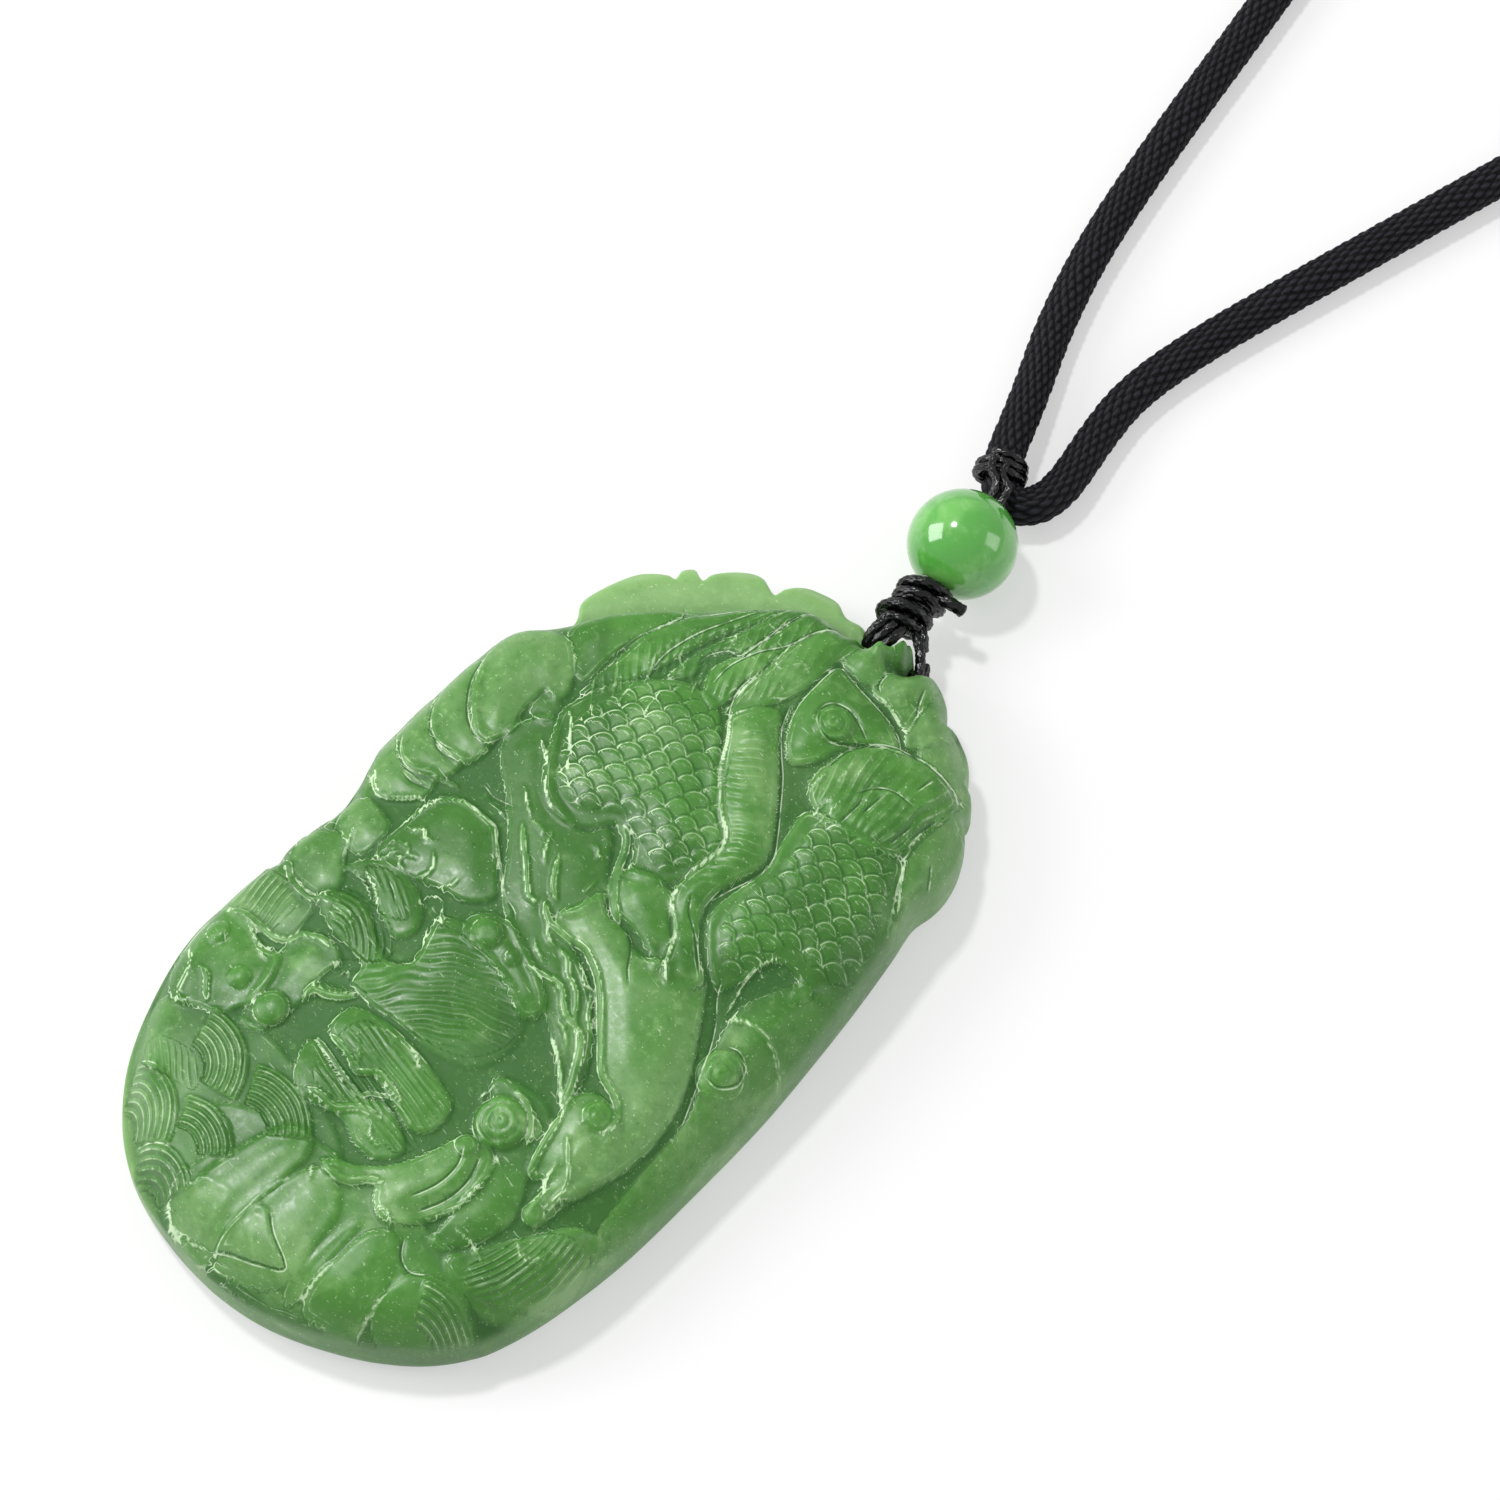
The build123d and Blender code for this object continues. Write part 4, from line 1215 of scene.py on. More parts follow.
PADS: tuple[Pad, ...] = (
    # crest lobe
    Pad(-0.15, 1.5, 1.5, (-17.8, 12, -17.7, 13.6, -17, 15.2, -15.6, 16.1, -14, 16.3, -12.6, 15.4, -11.4, 14,
        -10.8, 12.6, -11.3, 12, -12.3, 12, -12.3, 9.9, -11.8, 8.4, -12.4, 6.3, -13.4, 6.1, -14.6, 6.9,
        -16, 8.4, -17, 10), (-0.02, -0.05), tone=0.8),
    Pad(-0.75, 1.3, 1.3, (-18.4, 10.4, -17.4, 11.4, -16, 9.6, -14, 7.4, -12.2, 6.8, -12.3, 4.4, -14, 4,
        -15.8, 4.3, -17.1, 5.3, -18.3, 7.2), (0, -0.08), tone=0.8),
    Pad(-1.05, 1.2, 1.3, (-18.8, 7.2, -17.6, 6.6, -16, 4.8, -14, 4.5, -12.7, 4.6, -12.8, 2.6, -13.6, 1.9,
        -15.2, 1.4, -16.9, 1.8, -18.5, 3.8), (0, -0.08), tone=0.85),
    Pad(-1.35, 1.2, 1.3, (-18.7, 3.6, -17.2, 2.8, -15.6, 2, -13.6, 2.5, -12.9, 1.2, -13.1, 0.2, -14.4, -0.9,
        -15.4, -1.3, -16.7, -1.1, -18.1, 0.2), (0, -0.08), tone=0.9),
    # plume
    Pad(-1.35, 1.2, 1.4, (-14.5, 16.6, -14.4, 18.6, -13, 20.2, -11.9, 21.3, -11, 22.4, -9.8, 23.2,
        -9.2, 23.2, -9.7, 21, -10.1, 19.4, -10.6, 17.5, -10.6, 14.6, -11.4, 14.2, -12.8, 15.4), tone=-0.2),
    Pad(-1, 1.1, 1.1, (-10.3, 18, -10.1, 20.2, -9, 23, -7.9, 24.4, -6.4, 26.5, -4.8, 28.2, -4, 28.7,
        -4.9, 26, -6.1, 23.4, -6.8, 21, -7.6, 18.4, -8.8, 15.4, -10.4, 13.4), tone=-0.3),
    Pad(-0.85, 0.9, 0.9, (-6.7, 18.4, -6.5, 21, -5.8, 23.4, -4.7, 26.2, -4, 28.7, -3.1, 29.7, -2.6, 29.5,
        -3.3, 28, -3.5, 26.2, -3.8, 23.8, -4.8, 22.7, -5.5, 21.4, -5.4, 19.6), tone=-0.3),
    Pad(-0.7, 0.9, 0.9, (-4.8, 21, -4, 23.4, -3.5, 25.8, -3.2, 27.8, -2.6, 29.5, -1, 30.5, 0.4, 30.8,
        -0.5, 29.4, -1.4, 28, -1.8, 26, -2, 23.6, -2, 21, -2.4, 18.8, -3.8, 19), tone=-0.3),
    Pad(-0.5, 0.9, 0.9, (-1.9, 26, -1.4, 28, -0.4, 29.7, 1, 31, 2.4, 31.4, 1.7, 29.8, 1.4, 27.4, 1.3, 25,
        0.8, 22.8, -0.3, 20.6, -1.6, 18.9, -2, 21, -1.9, 24), tone=0.1),
    Pad(-0.75, 0.8, 0.9, (1.5, 31.2, 2.6, 31.7, 3.6, 31, 4.2, 29.4, 4.3, 27.6, 1.9, 27.4,
        1.4, 28), tone=0.7),
    # ear
    Pad(-2.3, 0.8, 1.6, (2.3, 30, 2.3, 31.6, 2.4, 32.6, 2.8, 33.3, 3.5, 33.3, 4.4, 32.6, 5, 31.6, 5.2, 30.4,
        4.6, 29), (0, 0.8)),
    # right crest
    Pad(-1.1, 1.3, 1.6, (4.3, 28, 4.4, 29.8, 5.2, 31.4, 6.2, 32, 7.2, 31.6, 7.8, 30, 8.2, 28, 8.4, 26.6,
        6.8, 27, 4.8, 27.2), tone=0.7),
    Pad(-1.25, 1.3, 1.6, (7, 31.8, 8.2, 31.5, 9.8, 30.4, 10.8, 29, 10.4, 27.4, 9.4, 25.9, 8.4, 26.4,
        8.2, 28, 7.6, 30), tone=0.75),
    Pad(-1.4, 1.2, 1.4, (10.6, 29.2, 11.8, 29.3, 13, 28.8, 14.2, 27.4, 14.9, 26.2, 13.8, 25.9, 12, 26,
        10.4, 25.7, 9.8, 26.8), tone=0.75),
    Pad(-1.3, 0.9, 1.2, (14.2, 26.5, 15.4, 26, 16.1, 25, 16.3, 24, 15.2, 23.5, 14, 24.4), tone=0.8),
    # leaf
    Pad(-0.95, 1, 1.5, (14.5, 24.6, 16, 24.3, 17.3, 23, 18.1, 21, 18.4, 18.8, 18.3, 16.5, 18.8, 14,
        19.1, 11, 18.3, 12.4, 17.4, 14.4, 16.2, 16.6, 15.1, 18.6, 14.6, 19.6, 14.3, 21.4), tone=0.75),
    # ruyi
    Pad(-0.55, 0.7, 1.2, (1.6, 27.2, 4, 26.9, 6.6, 26.6, 8.8, 25.6, 9.3, 25.2, 8, 24.6, 7, 23.8, 6, 22.2,
        5.6, 20.6, 4.4, 19.2, 3.2, 19.8, 2.2, 21.4, 1.6, 23, 1.5, 25), tone=-0.2),
    # feather arch
    Pad(-0.85, 0.8, 1.1, (6.1, 21, 6.6, 23, 8.4, 24.9, 10, 25.7, 12, 26.1, 14, 25.9, 14.5, 24.4, 14.5, 21,
        14.4, 19, 11, 17.7, 8, 17.6, 6.2, 18.8)),
    # feather arch inner
    Pad(-0.45, 0.7, 0.9, (8.3, 18.6, 8.7, 20.4, 9.6, 21.8, 11, 22.7, 12.6, 23, 13.9, 22.8, 14.3, 21,
        14.2, 19.2, 12.6, 18.2, 10.4, 17.8)),
    # belly strip
    Pad(0.1, 0.7, 1.2, (-1.2, 18.9, -0.4, 20.6, 0.8, 21.6, 2, 20.8, 3.5, 18.9, 5.9, 16, 7.6, 13.5,
        8.1, 11.6, 7.5, 9.6, 7.3, 7.6, 7.9, 5.8, 9.4, 4.2, 11, 2.6, 9.6, 0.8, 8.2, 1.8, 7.2, 4, 5.8, 5.2,
        4.9, 6.6, 4.8, 8.2, 5.1, 9.7, 5.1, 11.1, 4.5, 12.1, 3.2, 12.9, 1, 15.6, -0.4, 17.7), tone=0.05),
    # left coil
    Pad(-0.75, 2.2, 1.4, (-7.4, 17.6, -5, 19.2, -2.4, 19, -1, 17.8, 0.8, 15.6, 3, 13.1, 4.6, 12.1,
        5.1, 10.8, 5, 9.4, 4.7, 7.4, 3.6, 5.8, 1.9, 5.2, 0.9, 6.6, 0, 7.6, -1.4, 7.4, -2.6, 6, -4.4, 5.2,
        -6.2, 5.6, -7.9, 7, -9.4, 9.6, -10.4, 12, -9.4, 14.8), tone=-0.7),
    # right coil
    Pad(-0.7, 2.4, 1.5, (7.4, 17.2, 9.4, 18, 12, 18.8, 14.6, 19.2, 15.8, 17.4, 17.4, 14.4, 18.4, 11.4,
        18.2, 8.6, 16.4, 7.4, 14.2, 7.8, 13.2, 7, 12.8, 5, 12, 3.2, 10.8, 3.6, 9, 5.2, 7.8, 7, 8, 9.6,
        8.4, 12, 7.8, 14.4), tone=-0.5),
    # wave over the coil
    Pad(-0.7, 0.8, 1.1, (1.2, 5.2, 2, 3.7, 3, 2.5, 4.8, 2.4, 6.6, 1.9, 8, 1, 7.8, 3, 6.2, 4.6, 5, 6.2,
        3.6, 6.4, 2.2, 6), tone=0.35),
    # tail wave
    Pad(-0.2, 1.6, 2.1, (0.2, -0.3, 0.8, 1, 1.4, 3, 2.2, 2.6, 3, 2.1, 4.6, 2, 6.2, 1.4, 8, 2.2, 9.4, 3.6,
        10.8, 3.4, 12.2, 1.5, 13.4, -0.4, 14.6, -2.2, 15.5, -4.4, 16, -6.6, 16.1, -9, 15.6, -12,
        14.6, -14.6, 13.4, -16.6, 12.8, -16.2, 13.3, -13.8, 12.5, -11.6, 13.2, -9.4, 13, -8, 11.6, -7.3,
        10, -6.8, 8.8, -5.4, 7.4, -3.9, 6, -2.6, 4.6, -1.4, 3, -0.9, 1.2, -1.1), tone=0.75),
    # tail end
    Pad(-0.6, 1.1, 1.6, (9.9, -9.6, 10.2, -8.4, 11.4, -7.8, 13, -8, 14.8, -10, 15.2, -13, 14.6, -15.6,
        14.4, -17.4, 13.4, -17.8, 12.8, -16.8, 12.4, -15, 11.6, -15.4, 10.8, -14, 10.3, -11.8), tone=0.3),
    # flame bank
    Pad(-1.35, 1.6, 1.4, (-10.4, 11, -8.6, 9.6, -6.4, 6.8, -3, 5.6, -1.4, 7, 0.6, 4.6, 2, 3, 1.6, 0.6,
        0.2, -0.4, 3, -1.4, 6.2, -3.2, 9, -6.4, 10.2, -10.6, 6.4, -7.4, 3, -5.4, -0.4, -3.8, -3.4, -2,
        -6, 1.4, -8.6, 4, -11.6, 6.6, -12, 9), tone=-0.6),
    # bracket
    Pad(-1.2, 0.4, 0.8, (-12.2, 12.2, -11, 12.2, -10.5, 11.8, -10.6, 10.2, -12.1, 10.1), tone=0.7),
    # socket
    Pad(-1.15, 1.3, 1.3, (-12.7, -1.6, -12.5, 0.6, -11.4, 1.9, -9.6, 2.2, -7.6, 1.9, -6.2, 0.8, -5, -0.6,
        -3.8, -2, -5, -3.6, -7.4, -4.2, -9.6, -4.8, -12.6, -5), tone=-0.6),
    # cheek
    Pad(-0.75, 1.1, 1.2, (-13.5, -6.8, -12.6, -5.4, -10.6, -4.8, -8.4, -5.1, -7, -6, -6.2, -7.4, -7, -8.8,
        -8.6, -8.4, -9.8, -7.9, -11, -6.9, -12.4, -6.9), (0, 0.08), tone=-0.2),
    # mane
    Pad(-0.55, 1.5, 1.6, (-13.4, -9.8, -12.2, -8.5, -10, -8.3, -8, -9.6, -6.2, -10.3, -4.9, -9.4,
        -5.4, -7.4, -5.8, -5.8, -4.4, -4.9, -2.6, -5.1, -0.6, -5.6, 1.6, -6, 3.8, -7.2, 4.6, -9.6,
        3.6, -12.2, 0.8, -13.3, -2.4, -13.4, -5, -13.6, -7, -13.2, -7.4, -11.8, -9.4, -11.4,
        -11.6, -11), (-0.16, 0.04), tone=-0.3),
    # brow
    Pad(-0.5, 0.9, 1.2, (-4.2, -4.4, -3.4, -3.2, -1.8, -2.8, 0, -3.4, 2.4, -4.4, 4.4, -6, 3.4, -7.4,
        1, -6.4, -1.4, -5.8, -3.4, -5.8)),
    # upper jaw
    Pad(-0.7, 1, 1.3, (-5.6, -14.4, -3, -13.7, 0, -13.9, 2.4, -14.4, 4.4, -15.2, 4.6, -17.4, 3.2, -18.4,
        1.2, -17.8, -0.6, -17.3, -2.2, -17.6, -4.6, -17.2, -6, -16.4), (-0.1, 0), tone=0.1),
    # lower jaw
    Pad(-0.85, 0.9, 1.2, (-6.2, -17.8, -3.4, -18.6, -0.9, -18.9, 0.8, -18.1, 2.8, -18.6, 4.2, -19.8,
        3.2, -21.4, 1.2, -21.6, -0.4, -20.9, -2, -21.1, -4, -21.4, -5.8, -20), (-0.12, 0.1)),
    # cloud
    Pad(-1.3, 1, 1.2, (-17.5, -3.6, -17, -2.5, -15.8, -2, -14.2, -2.2, -13.2, -2.6, -12.9, -3.8, -13, -5.2,
        -13.8, -6, -14.8, -5.6, -16, -5, -17, -4.8), tone=0.75),
    Pad(-1.4, 1.1, 1.2, (-18, -6.4, -16.8, -5.5, -15, -5.2, -14, -6.6, -13.2, -7.3, -12.6, -8.6,
        -13.2, -9.8, -15, -9.9, -17, -9.5, -18.1, -8.4), tone=0.75),
    # comb bank
    Pad(-1.75, 0.8, 0.8, (-18.6, -9.6, -16, -9.8, -13.2, -10.1, -12.6, -12, -12.8, -13.8, -14.8, -14.5,
        -18.6, -14.4), tone=0.8),
    # foam bank
    Pad(-1.5, 1.2, 1, (-12.6, -14, -12, -12.4, -10.2, -11.6, -8.6, -12.4, -8.8, -14, -8.6, -16.6,
        -9.2, -19.6, -11, -20, -12, -17)),
    # foam
    Pad(-0.3, 0.35, 0.9, (-9, -14.7, -8.9, -16, -8.5, -16.3, -8.2, -15.4, -7, -14.7, -6.1, -13.9,
        -6.3, -13.5, -7.6, -14.1)),
    # beast
    Pad(-0.9, 1.5, 1.4, (-18.5, -15.6, -17.8, -14.2, -15.8, -13.9, -13.8, -15, -12.4, -14.7, -11.6, -15.6,
        -11.2, -17, -11.4, -19, -12.6, -20.8, -14, -21.2, -15.8, -21.8, -17.6, -20.4,
        -18.4, -18), tone=-0.2),
    # scallop bank
    Pad(-1.9, 1.6, 0.9, (-17, -22, -14, -21, -11.6, -19.8, -8, -19.6, -4, -20.6, 0, -21.8, 2, -24, -1, -26,
        -4, -30, -6, -34, -12, -32, -16.6, -27), tone=0.6),
    # left rock
    Pad(-0.25, 1, 1.1, (-5.7, -33, -5.2, -30.4, -4.5, -27.2, -3.7, -24.8, -2.5, -23.3, -1.3, -23.1,
        -0.4, -24.4, -0.5, -27, -0.9, -30, -1.1, -33.6, -3.4, -34), tone=0.7),
    # left rock foot
    Pad(-0.6, 0.7, 0.4, (-6.3, -30.6, -5.6, -28.2, -4.8, -27.4, -4.4, -30, -4.6, -33.6, -5.8, -33.2,
        -6.4, -32), tone=0.5),
    # middle rock
    Pad(-0.45, 1.1, 1, (-0.9, -33.4, -0.8, -30, -0.4, -26.6, 0.2, -24.7, 1.4, -24.2, 3, -24.8, 4, -26.2,
        4.2, -28.6, 4.5, -31, 3.4, -32.6, 1, -33.4), tone=0.6),
    # claw
    Pad(-0.55, 0.8, 0.4, (4.5, -32, 4.6, -28, 4.9, -25.6, 5.5, -25.2, 5.7, -28.4, 5.6, -31.8)),
    Pad(-0.4, 1.2, 0.5, (6, -31.8, 5.9, -28, 6.2, -25.6, 7.4, -24.4, 8.8, -25.2, 9.5, -27, 9.9, -29,
        9.8, -31, 8, -31.8), (-0.12, 0)),
    # fore leg
    Pad(-0.2, 1.3, 1.7, (6.1, -16.6, 7.1, -15.6, 8.7, -15.7, 9.5, -17, 9.7, -19, 9.2, -21.2, 8, -23.2,
        6.4, -24.3, 5, -23.7, 4.2, -22.8, 2.6, -24, 1, -24.3, 0.5, -23.7, 2.8, -22.2, 4.4, -20.6,
        5.4, -18.6), (-0.06, -0.02), tone=0.25),
    # leg bank
    Pad(-1.35, 1.3, 1.1, (5, -12, 8, -10.6, 10.2, -11.6, 11.6, -15.4, 12.8, -18, 12, -21.4, 9.6, -23,
        9, -16), (-0.1, -0.1)),
    # foot bank
    Pad(-1.3, 2.2, 0.6, (-8.6, -31, -8.4, -26, -4, -23.6, 2, -22.8, 8, -22.6, 13, -22.8, 14.4, -26,
        11, -30.4, 6, -33, 0, -34, -5, -33.6)),
    # left facet, painted pale as a highlight
    Pad(0.05, 0.5, 0.3, (-4.7, -29.9, -3.2, -29.5, -2.4, -29.8, -2.1, -32.6, -3.5, -33.3, -5, -33.2,
        -6.1, -32.1, -6.3, -30.2, -5.4, -31.2), tone=0.95),
    # middle facet, painted pale as a highlight
    Pad(0.02, 0.5, 0.3, (-0.9, -29.4, 0.3, -28.9, 1.5, -29.8, 3.7, -31, 2, -31.9, 0, -32.5,
        -1, -32.9), tone=0.95),
    # glint
    Pad(0, 0.4, 0.25, (15.2, 7.3, 15.9, 7.8, 16.6, 7.7, 16.6, 6.8, 16, 6.3, 15.6, 6.9), tone=1.2),
    # wedge
    Pad(-0.55, 0.35, 0.8, (8.3, -11.8, 9.9, -12.2, 10.1, -13.2, 9.7, -13.9, 9.3, -12.9), tone=0.9),
    # water bank
    Pad(-1.15, 1.4, 1.2, (14.4, -17.8, 16, -15.6, 18.2, -15, 18.6, -19, 17.4, -22.4, 15.6, -24.2,
        13.2, -24.2, 11.2, -23.2, 12.8, -20.4), tone=0.1),
    # right scallops
    Pad(-0.7, 1.2, 0.4, (10.2, -29.6, 10.1, -26, 11.4, -24.8, 13.8, -24.3, 16, -25, 16.9, -26, 15.2, -28,
        12.6, -29.8), (-0.1, 0)),
    # side bank
    Pad(-1.3, 1.6, 1, (13.8, 2.6, 14.4, 5.4, 16, 8, 19, 9, 20, 0, 20, -14, 17.4, -15.4, 16.6, -9, 16.4, -5,
        15, -1.6), tone=0.2),
)

FANS: tuple[Fan, ...] = (
    Fan(-12, -25.4, 5, 1.9, 55, 46),
    Fan(-5.4, -26.5, 5.4, 2.3, 76, 40),
    Fan(-13.4, -31, 5.1, 1.8, 62, 46),
    Fan(-7.9, -30.2, 4.4, 1.9, 76, 42),
    Fan(-8.2, -34.4, 4.7, 2, 86, 40),
    Fan(13.4, -29.6, 4.8, 2, 80, 36),
)

